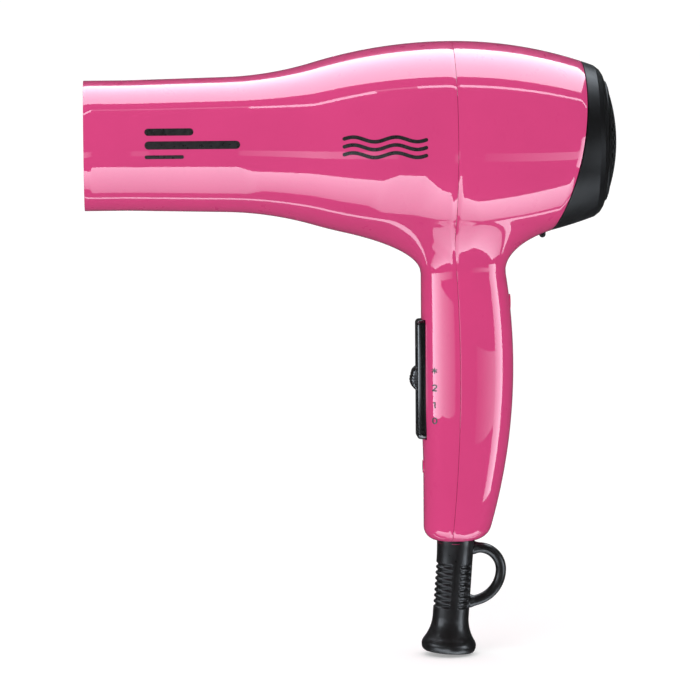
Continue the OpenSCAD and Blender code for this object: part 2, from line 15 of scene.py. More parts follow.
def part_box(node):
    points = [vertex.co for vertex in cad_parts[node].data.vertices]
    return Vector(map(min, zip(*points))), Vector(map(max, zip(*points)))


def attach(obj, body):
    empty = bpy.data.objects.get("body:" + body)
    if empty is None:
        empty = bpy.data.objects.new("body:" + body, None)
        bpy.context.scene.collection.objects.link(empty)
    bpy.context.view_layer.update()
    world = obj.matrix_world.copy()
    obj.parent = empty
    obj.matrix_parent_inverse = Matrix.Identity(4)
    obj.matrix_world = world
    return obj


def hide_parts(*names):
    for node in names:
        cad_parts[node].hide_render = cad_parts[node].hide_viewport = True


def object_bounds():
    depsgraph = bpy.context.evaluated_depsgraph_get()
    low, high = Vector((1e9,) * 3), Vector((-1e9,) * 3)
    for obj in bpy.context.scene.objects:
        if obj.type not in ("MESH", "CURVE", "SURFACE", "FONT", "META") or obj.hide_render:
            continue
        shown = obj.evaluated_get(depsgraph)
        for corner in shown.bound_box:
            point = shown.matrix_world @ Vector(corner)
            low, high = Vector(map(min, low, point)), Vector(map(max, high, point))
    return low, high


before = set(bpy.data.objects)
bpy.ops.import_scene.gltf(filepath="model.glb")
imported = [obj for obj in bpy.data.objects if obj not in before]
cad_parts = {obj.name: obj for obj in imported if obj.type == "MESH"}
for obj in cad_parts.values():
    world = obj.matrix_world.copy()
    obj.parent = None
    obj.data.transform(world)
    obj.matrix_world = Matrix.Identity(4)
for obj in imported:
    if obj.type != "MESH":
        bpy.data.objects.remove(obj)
CAD_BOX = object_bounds()
MM = 0.001


def box_mm(node):
    """Lowest and highest corner of a node, in millimetres."""
    low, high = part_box(node)
    return np.array(low) / MM, np.array(high) / MM


# ---------------------------------------------------------------------------------------
# Outline of the housing
# ---------------------------------------------------------------------------------------
front_high = box_mm("front_housing")[1]
rear_low = box_mm("rear_housing")[0]
grille_high = box_mm("inlet_grille")[1]
bezel_low, bezel_high = box_mm("switch_bezel")

COLLAR_R = 27.0
COLLAR_END = 18.0
BODY_R = front_high[2]                    # radius at the seam, where the body is widest
SEAM_X = 152.5
BARREL_END_R = COLLAR_R + 1.0
BARREL_SLOPE = math.radians(1.25)
SWELL = math.radians(16.5)                # steepest slope between barrel and body
FRONT_ARC = 203.0
REAR_ARC = 171.6
SHOULDER_X = 211.8                        # where the cap's side turns into its shoulder
WALL = 2.0

SWELL_END_X = SEAM_X - FRONT_ARC * math.sin(SWELL)
SWELL_END_R = BODY_R - FRONT_ARC * (1 - math.cos(SWELL))
SWELL_ARC = (SWELL_END_R - BARREL_END_R) / (math.cos(BARREL_SLOPE) - math.cos(SWELL))
SWELL_START_X = SWELL_END_X - SWELL_ARC * (math.sin(SWELL) - math.sin(BARREL_SLOPE))


def body_radius(x):
    """Radius of barrel and body at each x."""
    x = np.asarray(x, float)
    cone = COLLAR_R + (BARREL_END_R - COLLAR_R) * (x - COLLAR_END) / (SWELL_START_X - COLLAR_END)
    run = np.clip(x - SWELL_START_X + SWELL_ARC * math.sin(BARREL_SLOPE), 0, SWELL_ARC * 0.5)
    concave = BARREL_END_R + SWELL_ARC * math.cos(BARREL_SLOPE) - np.sqrt(SWELL_ARC**2 - run**2)
    arc = np.where(x < SEAM_X, FRONT_ARC, REAR_ARC)
    off = np.clip(x - SEAM_X, -60, 60)
    convex = BODY_R - arc + np.sqrt(arc**2 - off**2)
    return np.select([x < COLLAR_END, x < SWELL_START_X, x < SWELL_END_X],
                     [COLLAR_R, cone, concave], convex)


# Handle: a squarish oval that narrows towards both ends.
HANDLE_FRONT = 139.5
FRONT_LEAN = 0.6                          # how much further back the front edge is low down
HANDLE_REAR = 178.0
HANDLE_HALF_W = 15.0
HANDLE_POWER = 2.35
HANDLE_NECK_Z = -54.0                     # the handle's section is constant above this
HANDLE_BOTTOM = rear_low[2]
BACK_ARC = 245.0
BACK_MID_Z = -93.0
FOOT_R = 5.5                              # rounding round the underside
FILLET_UP = 12.8                          # how far the neck's fillet reaches down the handle
FILLET_OUT = {"front": 32.0, "rear": 21.0, "side": 13.0}


def seam_at(z):
    """Where the seam lies on the handle, as x at each height."""
    s = np.maximum(0, -40 - np.asarray(z, float))
    return SEAM_X + 0.0825 * s - 0.00073 * s * s


def handle_section(z):
    """Middle x, half depth and half width of the handle at each height."""
    z = np.minimum(np.asarray(z, float), HANDLE_NECK_Z)
    front = HANDLE_FRONT + FRONT_LEAN * np.clip((-112 - z) / 22, 0, 1)
    rear = HANDLE_REAR - BACK_ARC + np.sqrt(BACK_ARC**2 - (z - BACK_MID_Z) ** 2)
    half_w = HANDLE_HALF_W - 0.00048 * (z + 95) ** 2
    return (front + rear) / 2, (rear - front) / 2, half_w


def housing_field(p):
    """Zero on the housing's outer surface and positive outside, for an array of points."""
    x, y, z = p[:, 0], p[:, 1], p[:, 2]
    body = np.hypot(y, z) - body_radius(x)
    mid, half_d, half_w = handle_section(z)
    dx = x - mid
    out = np.hypot(dx, y) + 1e-9
    reach = (np.abs(dx / half_d) ** HANDLE_POWER + np.abs(y / half_w) ** HANDLE_POWER) ** (1 / HANDLE_POWER)
    handle = out - out / (reach + 1e-9)
    forward = np.clip(-dx / out, 0, 1) ** 2
    backward = np.clip(dx / out, 0, 1) ** 2
    spread = (FILLET_OUT["side"] + (FILLET_OUT["front"] - FILLET_OUT["side"]) * forward
              + (FILLET_OUT["rear"] - FILLET_OUT["side"]) * backward)
    a = body / FILLET_UP
    b = handle / spread
    fillet = 1 - np.hypot(np.maximum(1 - a, 0), np.maximum(1 - b, 0))
    blended = np.where((a < 1) & (b < 1), fillet, np.minimum(a, b))
    upper = z > 0
    return np.where(upper, a, blended) * FILLET_UP


def settle(points, fixed_x=None, steps=14):
    """Moves points onto the housing's surface. Where fixed_x is true a point keeps its x."""
    p = np.array(points, float)
    h = 0.02
    for _ in range(steps):
        f = housing_field(p)
        g = np.stack([(housing_field(p + h * e) - housing_field(p - h * e)) / (2 * h) for e in np.eye(3)], 1)
        if fixed_x is not None:
            g[fixed_x, 0] = 0
        size = (g * g).sum(1) + 1e-12
        step = g * (f / size)[:, None]
        p -= np.clip(step, -2.5, 2.5)
    return p


def settle_radially(points, steps=30):
    """Moves points onto the surface straight away from the barrel's axis."""
    p = np.array(points, float)
    r = np.hypot(p[:, 1], p[:, 2])
    way = p[:, 1:] / r[:, None]
    low, high = r - 2.0, r + 16.0
    for _ in range(steps):
        middle = (low + high) / 2
        q = np.column_stack([p[:, 0], way * middle[:, None]])
        outside = housing_field(q) > 0
        high = np.where(outside, middle, high)
        low = np.where(outside, low, middle)
    return np.column_stack([p[:, 0], way * ((low + high) / 2)[:, None]])


# Parting edge between rear housing and filter cap: an arc seen from the side.
CAP_EDGE_R = 152.0
CAP_EDGE_X = 206.7
CAP_EDGE_Z = 24.9


def cap_edge(angle):
    """x of the parting edge at each angle about the barrel, measured from straight down."""
    x = np.full(np.shape(angle), 200.0)
    for _ in range(30):
        z = -body_radius(x) * np.cos(angle)
        x = CAP_EDGE_X - CAP_EDGE_R + np.sqrt(CAP_EDGE_R**2 - (z - CAP_EDGE_Z) ** 2)
    return x


# ---------------------------------------------------------------------------------------
# Mesh helpers
# ---------------------------------------------------------------------------------------
def mesh_piece(name, points, faces, merge=1e-7):
    """A piece from points in millimetres, with doubles merged and faces turned outwards."""
    mesh = bpy.data.meshes.new(name)
    mesh.from_pydata((np.asarray(points, float) * MM).tolist(), [], [list(map(int, f)) for f in faces])
    bm = bmesh.new()
    bm.from_mesh(mesh)
    bmesh.ops.remove_doubles(bm, verts=bm.verts, dist=merge)
    bmesh.ops.dissolve_degenerate(bm, dist=1e-8, edges=bm.edges)
    bmesh.ops.recalc_face_normals(bm, faces=bm.faces)
    bm.to_mesh(mesh)
    bm.free()
    piece = bpy.data.objects.new(name, mesh)
    bpy.context.scene.collection.objects.link(piece)
    return piece


def turn_outwards(piece, inside_mm):
    """Flips an open skin if its faces look towards a point inside it."""
    mesh = piece.data
    inside = Vector(inside_mm) * MM
    votes = sum(1 if (f.center - inside).dot(f.normal) > 0 else -1 for f in mesh.polygons)
    if votes < 0:
        mesh.flip_normals()


def bake(piece, sharp_angle=35):
    """Applies the piece's modifiers, so that it is a plain mesh, and smooths it between sharp edges."""
    view = bpy.context.evaluated_depsgraph_get()
    mesh = bpy.data.meshes.new_from_object(piece.evaluated_get(view), depsgraph=view)
    piece.modifiers.clear()
    old = piece.data
    piece.data = mesh
    mesh.name = piece.name
    if old.users == 0:
        bpy.data.meshes.remove(old)
    smooth(piece, sharp_angle)
    return piece


def smooth(piece, sharp_angle=35):
    mesh = piece.data
    mesh.polygons.foreach_set("use_smooth", [True] * len(mesh.polygons))
    mesh.set_sharp_from_angle(angle=math.radians(sharp_angle))


def thicken(piece, thickness, offset=-1, even=True):
    wall = piece.modifiers.new("wall", "SOLIDIFY")
    wall.thickness = thickness * MM
    wall.offset = offset
    wall.use_even_offset = even


def round_edges(piece, width, segments=2, angle=40):
    edge = piece.modifiers.new("edge", "BEVEL")
    edge.width = width * MM
    edge.segments = segments
    edge.limit_method = "ANGLE"
    edge.angle_limit = math.radians(angle)
    edge.use_clamp_overlap = True


def cut(piece, cutter):
    """Takes the cutter out of the piece and removes the cutter."""
    hole = piece.modifiers.new("cut", "BOOLEAN")
    hole.operation = "DIFFERENCE"
    hole.solver = "EXACT"
    hole.object = cutter
    bake(piece)
    bpy.data.objects.remove(cutter)


def join(pieces):
    """Several pieces as one, keeping the first one's name."""
    with bpy.context.temp_override(active_object=pieces[0], object=pieces[0],
                                   selected_objects=pieces, selected_editable_objects=pieces):
        bpy.ops.object.join()
    return pieces[0]


def grid_faces(rows, columns, closed=False, start=0):
    """Quads of a grid of points stored row after row."""
    faces = []
    for i in range(rows - 1):
        for j in range(columns if closed else columns - 1):
            k = (j + 1) % columns
            faces.append((start + i * columns + j, start + i * columns + k,
                          start + (i + 1) * columns + k, start + (i + 1) * columns + j))
    return faces


def turned(name, outline, steps=96, closed_outline=True):
    """A shape turned about the barrel's axis from (x, radius) points."""
    outline = np.asarray(outline, float)
    angle = np.arange(steps) * 2 * np.pi / steps
    rings = [np.column_stack([np.full(steps, x), r * np.sin(angle), r * np.cos(angle)]) for x, r in outline]
    points = np.vstack(rings)
    rows = len(outline)
    faces = grid_faces(rows, steps, closed=True)
    if closed_outline:
        last = (rows - 1) * steps
        faces += [(last + j, last + (j + 1) % steps, (j + 1) % steps, j) for j in range(steps)]
    return mesh_piece(name, points, faces)


def block(name, low, high):
    low, high = np.minimum(low, high), np.maximum(low, high)
    corners = [(x, y, z) for x in (low[0], high[0]) for y in (low[1], high[1]) for z in (low[2], high[2])]
    faces = [(0, 1, 3, 2), (4, 6, 7, 5), (0, 4, 5, 1), (2, 3, 7, 6), (0, 2, 6, 4), (1, 5, 7, 3)]
    return mesh_piece(name, corners, faces)


def cylinder(name, start, end, radius, steps=48):
    """A plain round bar between two points, used for cutting."""
    start, end = np.asarray(start, float), np.asarray(end, float)
    way = (end - start) / np.linalg.norm(end - start)
    side = np.cross(way, [0, 1, 0] if abs(way[1]) < 0.9 else [1, 0, 0])
    side /= np.linalg.norm(side)
    up = np.cross(way, side)
    angle = np.arange(steps) * 2 * np.pi / steps
    ring = radius * (np.cos(angle)[:, None] * side + np.sin(angle)[:, None] * up)
    points = np.vstack([start + ring, end + ring])
    faces = grid_faces(2, steps, closed=True)
    faces += [tuple(range(steps)), tuple(range(2 * steps - 1, steps - 1, -1))]
    return mesh_piece(name, points, faces)


def tube_along(name, path, radii, steps=24):
    """A round bar along a path, with its own radius at every point."""
    path = np.asarray(path, float)
    radii = np.broadcast_to(np.asarray(radii, float), len(path))
    way = np.gradient(path, axis=0)
    way /= np.linalg.norm(way, axis=1)[:, None]
    side = np.cross(way, [0, 1, 0])
    side /= np.linalg.norm(side, axis=1)[:, None]
    up = np.cross(way, side)
    angle = np.arange(steps) * 2 * np.pi / steps
    rings = [p + r * (np.cos(angle)[:, None] * s + np.sin(angle)[:, None] * u)
             for p, r, s, u in zip(path, radii, side, up)]
    n = len(path)
    faces = grid_faces(n, steps, closed=True)
    faces += [tuple(range(steps)), tuple(range(n * steps - 1, (n - 1) * steps - 1, -1))]
    return mesh_piece(name, np.vstack(rings), faces)


# ---------------------------------------------------------------------------------------
# Geometry Nodes helpers
# ---------------------------------------------------------------------------------------
class Nodes:
    """A Geometry Nodes tree under construction."""

    def __init__(self, name, **inputs):
        self.tree = bpy.data.node_groups.new(name, "GeometryNodeTree")
        self.tree.interface.new_socket("Geometry", in_out="INPUT", socket_type="NodeSocketGeometry")
        self.tree.interface.new_socket("Geometry", in_out="OUTPUT", socket_type="NodeSocketGeometry")
        self.values = {}
        for key, value in inputs.items():
            kind = {int: "Int", float: "Float", bpy.types.Material: "Material"}.get(type(value), "Object")
            socket = self.tree.interface.new_socket(key, in_out="INPUT", socket_type="NodeSocket" + kind)
            self.values[key] = (socket.identifier, value)
        self.start = self.tree.nodes.new("NodeGroupInput")
        self.end = self.tree.nodes.new("NodeGroupOutput")

    def input(self, key):
        return self.start.outputs[key]

    def add(self, kind, settings=None, **links):
        """Adds a node. A link's name is the socket's name with _ for spaces, or i0, i1 for its number."""
        node = self.tree.nodes.new(kind)
        for key, value in (settings or {}).items():
            setattr(node, key, value)
        for key, value in links.items():
            if key[0] == "i" and key[1:].isdigit():
                socket = node.inputs[int(key[1:])]
            else:
                socket = node.inputs[key.replace("_", " ")]
            if isinstance(value, bpy.types.NodeSocket):
                self.tree.links.new(value, socket)
            elif isinstance(value, bpy.types.Node):
                self.tree.links.new(value.outputs[0], socket)
            else:
                socket.default_value = value
        return node

    def math(self, operation, a, b=0.0):
        return self.add("ShaderNodeMath", {"operation": operation}, i0=a, i1=b).outputs[0]

    def finish(self, geometry, name):
        """Joins the last steps on, runs the tree and returns its result as a plain piece."""
        real = self.add("GeometryNodeRealizeInstances", Geometry=geometry)
        dressed = self.add("GeometryNodeSetMaterial", Geometry=real, Material=self.input("Material"))
        self.tree.links.new(dressed.outputs[0], self.end.inputs[0])
        piece = bpy.data.objects.new(name, bpy.data.meshes.new(name))
        bpy.context.scene.collection.objects.link(piece)
        run = piece.modifiers.new("make", "NODES")
        run.node_group = self.tree
        for identifier, value in self.values.values():
            run[identifier] = value
        return bake(piece)


# ---------------------------------------------------------------------------------------
# Materials
# ---------------------------------------------------------------------------------------
class Finish:
    """A procedural material built round one Principled shader."""

    def __init__(self, name, colour, roughness, **settings):
        self.material = bpy.data.materials.new(name)
        self.material.use_nodes = True
        self.material.diffuse_color = (*colour, 1)
        self.nodes = self.material.node_tree.nodes
        self.links = self.material.node_tree.links
        self.shader = self.nodes["Principled BSDF"]
        self.shader.inputs["Base Color"].default_value = (*colour, 1)
        self.shader.inputs["Roughness"].default_value = roughness
        for key, value in settings.items():
            self.shader.inputs[key.replace("_", " ")].default_value = value
        place = self.nodes.new("ShaderNodeTexCoord")
        self.place = place.outputs["Object"]
        self.height = None

    def mapped(self, scale=(1, 1, 1), turn=(0, 0, 0), move=(0, 0, 0)):
        node = self.nodes.new("ShaderNodeMapping")
        node.inputs["Scale"].default_value = scale
        node.inputs["Rotation"].default_value = turn
        node.inputs["Location"].default_value = move
        self.links.new(self.place, node.inputs["Vector"])
        return node.outputs[0]

    def noise(self, scale, detail=3.0, rough=0.5, vector=None, distortion=0.0):
        node = self.nodes.new("ShaderNodeTexNoise")
        node.inputs["Scale"].default_value = scale
        node.inputs["Detail"].default_value = detail
        node.inputs["Roughness"].default_value = rough
        node.inputs["Distortion"].default_value = distortion
        self.links.new(vector or self.place, node.inputs["Vector"])
        return node.outputs["Fac"]

    def cells(self, scale, vector=None, feature="F1"):
        node = self.nodes.new("ShaderNodeTexVoronoi")
        node.feature = feature
        node.inputs["Scale"].default_value = scale
        self.links.new(vector or self.place, node.inputs["Vector"])
        return node.outputs["Distance"]

    def waves(self, scale, direction="X", vector=None, distortion=0.0):
        node = self.nodes.new("ShaderNodeTexWave")
        node.bands_direction = direction
        node.inputs["Scale"].default_value = scale
        node.inputs["Distortion"].default_value = distortion
        self.links.new(vector or self.place, node.inputs["Vector"])
        return node.outputs["Fac"]

    def spread(self, value, low, high, frm=0.3, to=0.7):
        """Stretches a 0 to 1 pattern to the range low to high."""
        node = self.nodes.new("ShaderNodeMapRange")
        node.inputs["From Min"].default_value = frm
        node.inputs["From Max"].default_value = to
        node.inputs["To Min"].default_value = low
        node.inputs["To Max"].default_value = high
        self.links.new(value, node.inputs["Value"])
        return node.outputs[0]

    def colours(self, value, stops):
        node = self.nodes.new("ShaderNodeValToRGB")
        ramp = node.color_ramp
        while len(ramp.elements) < len(stops):
            ramp.elements.new(0.5)
        for element, (at, colour) in zip(ramp.elements, stops):
            element.position = at
            element.color = (*colour, 1)
        self.links.new(value, node.inputs["Fac"])
        self.links.new(node.outputs["Color"], self.shader.inputs["Base Color"])

    def drive(self, socket, value):
        self.links.new(value, self.shader.inputs[socket])

    def bump(self, value, depth_m, strength=1.0):
        """Adds a relief of the given depth; several reliefs add up."""
        node = self.nodes.new("ShaderNodeBump")
        node.inputs["Distance"].default_value = depth_m
        node.inputs["Strength"].default_value = strength
        self.links.new(value, node.inputs["Height"])
        if self.height:
            self.links.new(self.height, node.inputs["Normal"])
        self.height = node.outputs["Normal"]
        self.links.new(self.height, self.shader.inputs["Normal"])
        return self


def shade(value, factor):
    return tuple(min(1.0, c * factor) for c in value)


def glossy_pink():
    """Self-coloured gloss plastic: deep colour, clear skin, the faint waviness of a moulding."""
    pink = (0.63, 0.0525, 0.196)
    f = Finish("pink gloss plastic", pink, 0.3, Coat_Weight=1.0, Coat_Roughness=0.012, Coat_IOR=1.5,
               Specular_IOR_Level=0.06)
    cloud = f.noise(26, 4)
    f.colours(cloud, [(0.30, shade(pink, 0.965)), (0.70, shade(pink, 1.035))])
    handling = f.noise(160, 5, 0.62, f.mapped((1, 1, 0.6)))
    f.drive("Roughness", f.spread(handling, 0.26, 0.36))
    f.bump(f.noise(34, 1.0), 0.00006, 0.35)
    return f.material


def satin_black(name="satin black plastic", tone=0.0055, grain_m=0.000012):
    """Spark-eroded satin plastic with a fine even grain."""
    base = (tone, tone, tone * 1.06)
    f = Finish(name, base, 0.38, Specular_IOR_Level=0.13)
    f.colours(f.noise(48, 4), [(0.3, shade(base, 0.85)), (0.7, shade(base, 1.25))])
    f.drive("Roughness", f.spread(f.noise(210, 4, 0.6), 0.31, 0.42))
    f.bump(f.cells(2600), grain_m, 0.5)
    f.bump(f.noise(900, 4, 0.6), grain_m * 1.5, 0.5)
    return f.material


def gloss_black(name="gloss black plastic"):
    base = (0.0045, 0.0045, 0.005)
    f = Finish(name, base, 0.2, Coat_Weight=0.35, Coat_Roughness=0.08)
    f.colours(f.noise(60, 4), [(0.3, shade(base, 0.85)), (0.7, shade(base, 1.2))])
    f.drive("Roughness", f.spread(f.noise(320, 4, 0.6), 0.16, 0.27))
    f.bump(f.noise(240, 3), 0.000006, 0.2)
    return f.material


def matt_black():
    """Heat-resistant plastic inside the dryer."""
    base = (0.014, 0.014, 0.015)
    f = Finish("heat resistant black plastic", base, 0.55)
    f.colours(f.noise(70, 5), [(0.3, shade(base, 0.7)), (0.7, shade(base, 1.5))])
    f.drive("Roughness", f.spread(f.noise(260, 4), 0.48, 0.64))
    f.bump(f.noise(1500, 4, 0.6), 0.00002, 0.6)
    return f.material


def soft_black():
    """The cord guard's flexible moulding: satin with a faint waxy bloom."""
    base = (0.0055, 0.0050, 0.0052)
    f = Finish("soft black moulding", base, 0.34, Specular_IOR_Level=0.28,
               Coat_Weight=0.12, Coat_Roughness=0.12)
    f.colours(f.noise(90, 5, 0.6), [(0.3, shade(base, 0.8)), (0.72, shade(base, 1.6))])
    f.drive("Roughness", f.spread(f.noise(380, 5, 0.6), 0.27, 0.41))
    f.bump(f.noise(1300, 4, 0.6), 0.000016, 0.5)
    f.bump(f.noise(120, 2), 0.00007, 0.3)
    return f.material


def mica_sheet():
    """Pressed mica: overlapping pale flakes with glints."""
    f = Finish("mica sheet", (0.60, 0.50, 0.34), 0.42, Specular_IOR_Level=0.6)
    flakes = f.cells(420, f.mapped((1, 1, 1), (0.3, 0.2, 0.1)))
    f.colours(flakes, [(0.1, (0.42, 0.34, 0.22)), (0.5, (0.60, 0.51, 0.36)), (0.95, (0.72, 0.64, 0.48))])
    f.drive("Roughness", f.spread(f.cells(700), 0.2, 0.6, 0.1, 0.8))
    f.bump(flakes, 0.00008, 0.5)
    return f.material


def metal(name, colour, roughness, streak=(1, 18, 18), scale=240, depth_m=0.00001):
    """Drawn or plated metal with streaks along one direction and slight staining."""
    f = Finish(name, colour, roughness, Metallic=1.0)
    grain = f.noise(scale, 5, 0.6, f.mapped(streak))
    stain = f.noise(46, 4, 0.6)
    f.colours(stain, [(0.3, shade(colour, 0.78)), (0.68, shade(colour, 1.08))])
    f.drive("Roughness", f.spread(grain, roughness * 0.7, roughness * 1.45))
    f.bump(grain, depth_m, 0.5)
    return f.material


def heating_wire():
    """Resistance wire with the blue and straw tints of its first heating."""
    f = Finish("resistance wire", (0.42, 0.38, 0.34), 0.3, Metallic=1.0)
    blue, straw, bronze = (0.20, 0.21, 0.27), (0.44, 0.39, 0.33), (0.55, 0.42, 0.27)
    f.colours(f.noise(90, 4), [(0.25, blue), (0.5, straw), (0.75, bronze)])
    f.drive("Roughness", f.spread(f.noise(700, 4), 0.22, 0.46))
    f.bump(f.noise(1600, 3), 0.000015, 0.5)
    return f.material


def copper_wire():
    """Closely wound enamelled wire, turn beside turn. Its colour carries painted shade in the grooves between
    turns and a painted highlight on their crests.
    """
    f = Finish("enamelled copper wire", (0.60, 0.24, 0.10), 0.28, Metallic=0.9, Coat_Weight=0.6)
    turns = f.waves(900, "DIAGONAL")
    # painted shade: darkest in the grooves between turns; painted highlight: lightest on the crests
    f.colours(turns, [(0.0, (0.20, 0.06, 0.025)), (0.55, (0.62, 0.25, 0.10)), (1.0, (0.78, 0.36, 0.17))])
    f.bump(turns, 0.0002, 0.8)
    f.drive("Roughness", f.spread(f.noise(300, 4), 0.2, 0.4))
    return f.material


def laminations():
    """Edges of the stamped sheets of a laminated core."""
    f = Finish("laminated core steel", (0.22, 0.22, 0.23), 0.4, Metallic=1.0)
    sheets = f.waves(320, "X")
    f.colours(sheets, [(0.0, (0.07, 0.07, 0.075)), (0.35, (0.22, 0.22, 0.23)), (1.0, (0.34, 0.34, 0.35))])
    f.bump(sheets, 0.0001, 0.7)
    f.drive("Roughness", f.spread(f.noise(400, 4), 0.3, 0.55))
    return f.material


def speckled(name, colour, roughness, scale, low, high, depth_m=0.00002):
    """Sintered or pressed material with fine specks."""
    f = Finish(name, colour, roughness)
    specks = f.noise(scale, 6, 0.7)
    f.colours(specks, [(0.3, shade(colour, low)), (0.7, shade(colour, high))])
    f.drive("Roughness", f.spread(f.noise(scale * 0.4, 4), roughness * 0.8, min(1, roughness * 1.2)))
    f.bump(specks, depth_m, 0.6)
    return f.material


def board_laminate():
    """Green board: lacquer over a woven base."""
    f = Finish("printed board laminate", (0.02, 0.10, 0.045), 0.32, Coat_Weight=0.5)
    weave = f.waves(900, "Y")
    f.colours(weave, [(0.0, (0.014, 0.075, 0.032)), (1.0, (0.03, 0.13, 0.06))])
    f.bump(f.waves(900, "Z"), 0.00003, 0.5)
    f.drive("Roughness", f.spread(f.noise(200, 4), 0.25, 0.42))
    return f.material


def sleeve(name, colour):
    """Sleeved lead: soft skin over stranded wire."""
    f = Finish(name, colour, 0.42, Specular_IOR_Level=0.45)
    f.colours(f.noise(140, 4), [(0.3, shade(colour, 0.8)), (0.7, shade(colour, 1.2))])
    f.bump(f.noise(420, 3, 0.5, f.mapped((3, 3, 1))), 0.00005, 0.5)
    f.drive("Roughness", f.spread(f.noise(260, 4), 0.36, 0.5))
    return f.material


def printed_ink():
    """Pad-printed black ink, slightly uneven in cover and matter than the plastic."""
    base = (0.012, 0.011, 0.012)
    f = Finish("black print", base, 0.3, Specular_IOR_Level=0.5)
    f.colours(f.noise(800, 4, 0.6), [(0.3, shade(base, 0.7)), (0.75, shade(base, 2.2))])
    f.drive("Roughness", f.spread(f.noise(500, 4), 0.24, 0.4))
    f.bump(f.noise(2200, 3), 0.000006, 0.4)
    return f.material


PINK = glossy_pink()
SATIN = satin_black()
GLOSS = gloss_black()
MATT = matt_black()
SOFT = soft_black()
MICA = mica_sheet()
INK = printed_ink()
STEEL = metal("plated steel", (0.62, 0.62, 0.64), 0.3)
SPRING = metal("spring wire", (0.55, 0.55, 0.57), 0.22, (12, 12, 1), 300)
MESH_STEEL = metal("screen wire", (0.34, 0.34, 0.35), 0.42, (4, 4, 4), 500)
BRASS = metal("stamped brass", (0.66, 0.46, 0.16), 0.26, (6, 1, 6))
WIRE = heating_wire()
COPPER = copper_wire()
CORE = laminations()
FERRITE = speckled("sintered ferrite", (0.035, 0.035, 0.038), 0.6, 900, 0.6, 1.6)
CARBON = speckled("pressed carbon", (0.020, 0.020, 0.021), 0.5, 1400, 0.5, 1.9)
BOARD = board_laminate()
BROWN = sleeve("brown sleeve", (0.115, 0.040, 0.016))
BLUE = sleeve("blue sleeve", (0.012, 0.055, 0.26))
BLACK_LEAD = sleeve("black sleeve", (0.012, 0.012, 0.012))


def place(piece, material, body, slot, *replaced):
    """Gives a piece its material, its body and the nodes that it stands for. The slot argument is not used.
    """
    if not piece.data.materials:
        piece.data.materials.append(material)
    for i in range(len(piece.data.materials)):
        piece.data.materials[i] = material
    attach(piece, body)
    if replaced:
        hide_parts(*replaced)
    return piece


# ---------------------------------------------------------------------------------------
# Housing shells
# ---------------------------------------------------------------------------------------
AROUND = 144                              # points round the barrel
HOLE_STEPS = 13                           # half width, in those points, of the opening under the body
HOLE_FRONT_X = 119.0
REAR_STEPS = 20
REAR_HOLE_STEPS = 16
SEAM_GAP = 0.05
NECK_ROWS = 14
NECK_BASE_Z = -57.0
SHANK_ROWS = 44
FOOT_ROWS = 7
GUARD_HOLE_R = 7.96
GUARD_TOP = np.array([153.5, 0.0, -168.1])
UNDERSIDE_CROWN = 1.0


def ring_angles():
    return np.arange(AROUND) * 2 * np.pi / AROUND


def body_point(x, angle):
    r = body_radius(x)
    return np.column_stack([x, r * np.sin(angle), -r * np.cos(angle)])


def handle_ring(theta, z, inset):
    """Points of the handle's outline at height z in the directions theta from the seam."""
    centre = seam_at(z)
    mid, half_d, half_w = handle_section(z)
    half_d, half_w = half_d - inset * 1.1, half_w - inset
    low, high = np.zeros(len(theta)), np.full(len(theta), 60.0)
    for _ in range(40):
        r = (low + high) / 2
        dx = centre + r * np.cos(theta) - mid
        dy = r * np.sin(theta)
        outside = np.abs(dx / half_d) ** HANDLE_POWER + np.abs(dy / half_w) ** HANDLE_POWER > 1
        high = np.where(outside, r, high)
        low = np.where(outside, low, r)
    return np.column_stack([centre + low * np.cos(theta), low * np.sin(theta), np.full(len(theta), z)])


def guard_hole_ring(theta, z):
    """Points of the round hole for the cord guard, seen in the directions theta from the seam."""
    centre = seam_at(z)
    off = centre - GUARD_TOP[0]
    b = off * np.cos(theta)
    r = -b + np.sqrt(b * b - off * off + GUARD_HOLE_R**2)
    return np.column_stack([centre + r * np.cos(theta), r * np.sin(theta), np.full(len(theta), z)])


def handle_sheet(rim, theta):
    """Rows of points from the rim under the body down the handle to the hole for the cord guard."""
    rows = [rim]
    base = handle_ring(theta, NECK_BASE_Z, 0)
    t = np.linspace(0, 1, NECK_ROWS + 1)[1:]
    for s in t[:-1]:
        corner = np.column_stack([base[:, 0], base[:, 1], rim[:, 2]])
        guess = (1 - s) ** 2 * rim + 2 * s * (1 - s) * corner + s * s * base
        seam = np.zeros(len(theta), bool)
        seam[[0, -1]] = True
        guess[seam, 0] = seam_at(guess[seam, 2])
        rows.append(settle(guess, seam))
    low = HANDLE_BOTTOM + FOOT_R
    for z in np.linspace(NECK_BASE_Z, low, SHANK_ROWS):
        rows.append(handle_ring(theta, z, 0))
    for a in np.linspace(0, np.pi / 2, FOOT_ROWS + 1)[1:]:
        rows.append(handle_ring(theta, low - FOOT_R * math.sin(a), FOOT_R * (1 - math.cos(a))))
    edge = rows[-1]
    hole = guard_hole_ring(theta, HANDLE_BOTTOM - UNDERSIDE_CROWN)
    for s in (0.3, 0.65, 1.0):
        row = edge + (hole - edge) * s
        row[:, 2] = HANDLE_BOTTOM - UNDERSIDE_CROWN * math.sin(s * math.pi / 2)
        rows.append(row)
    return rows


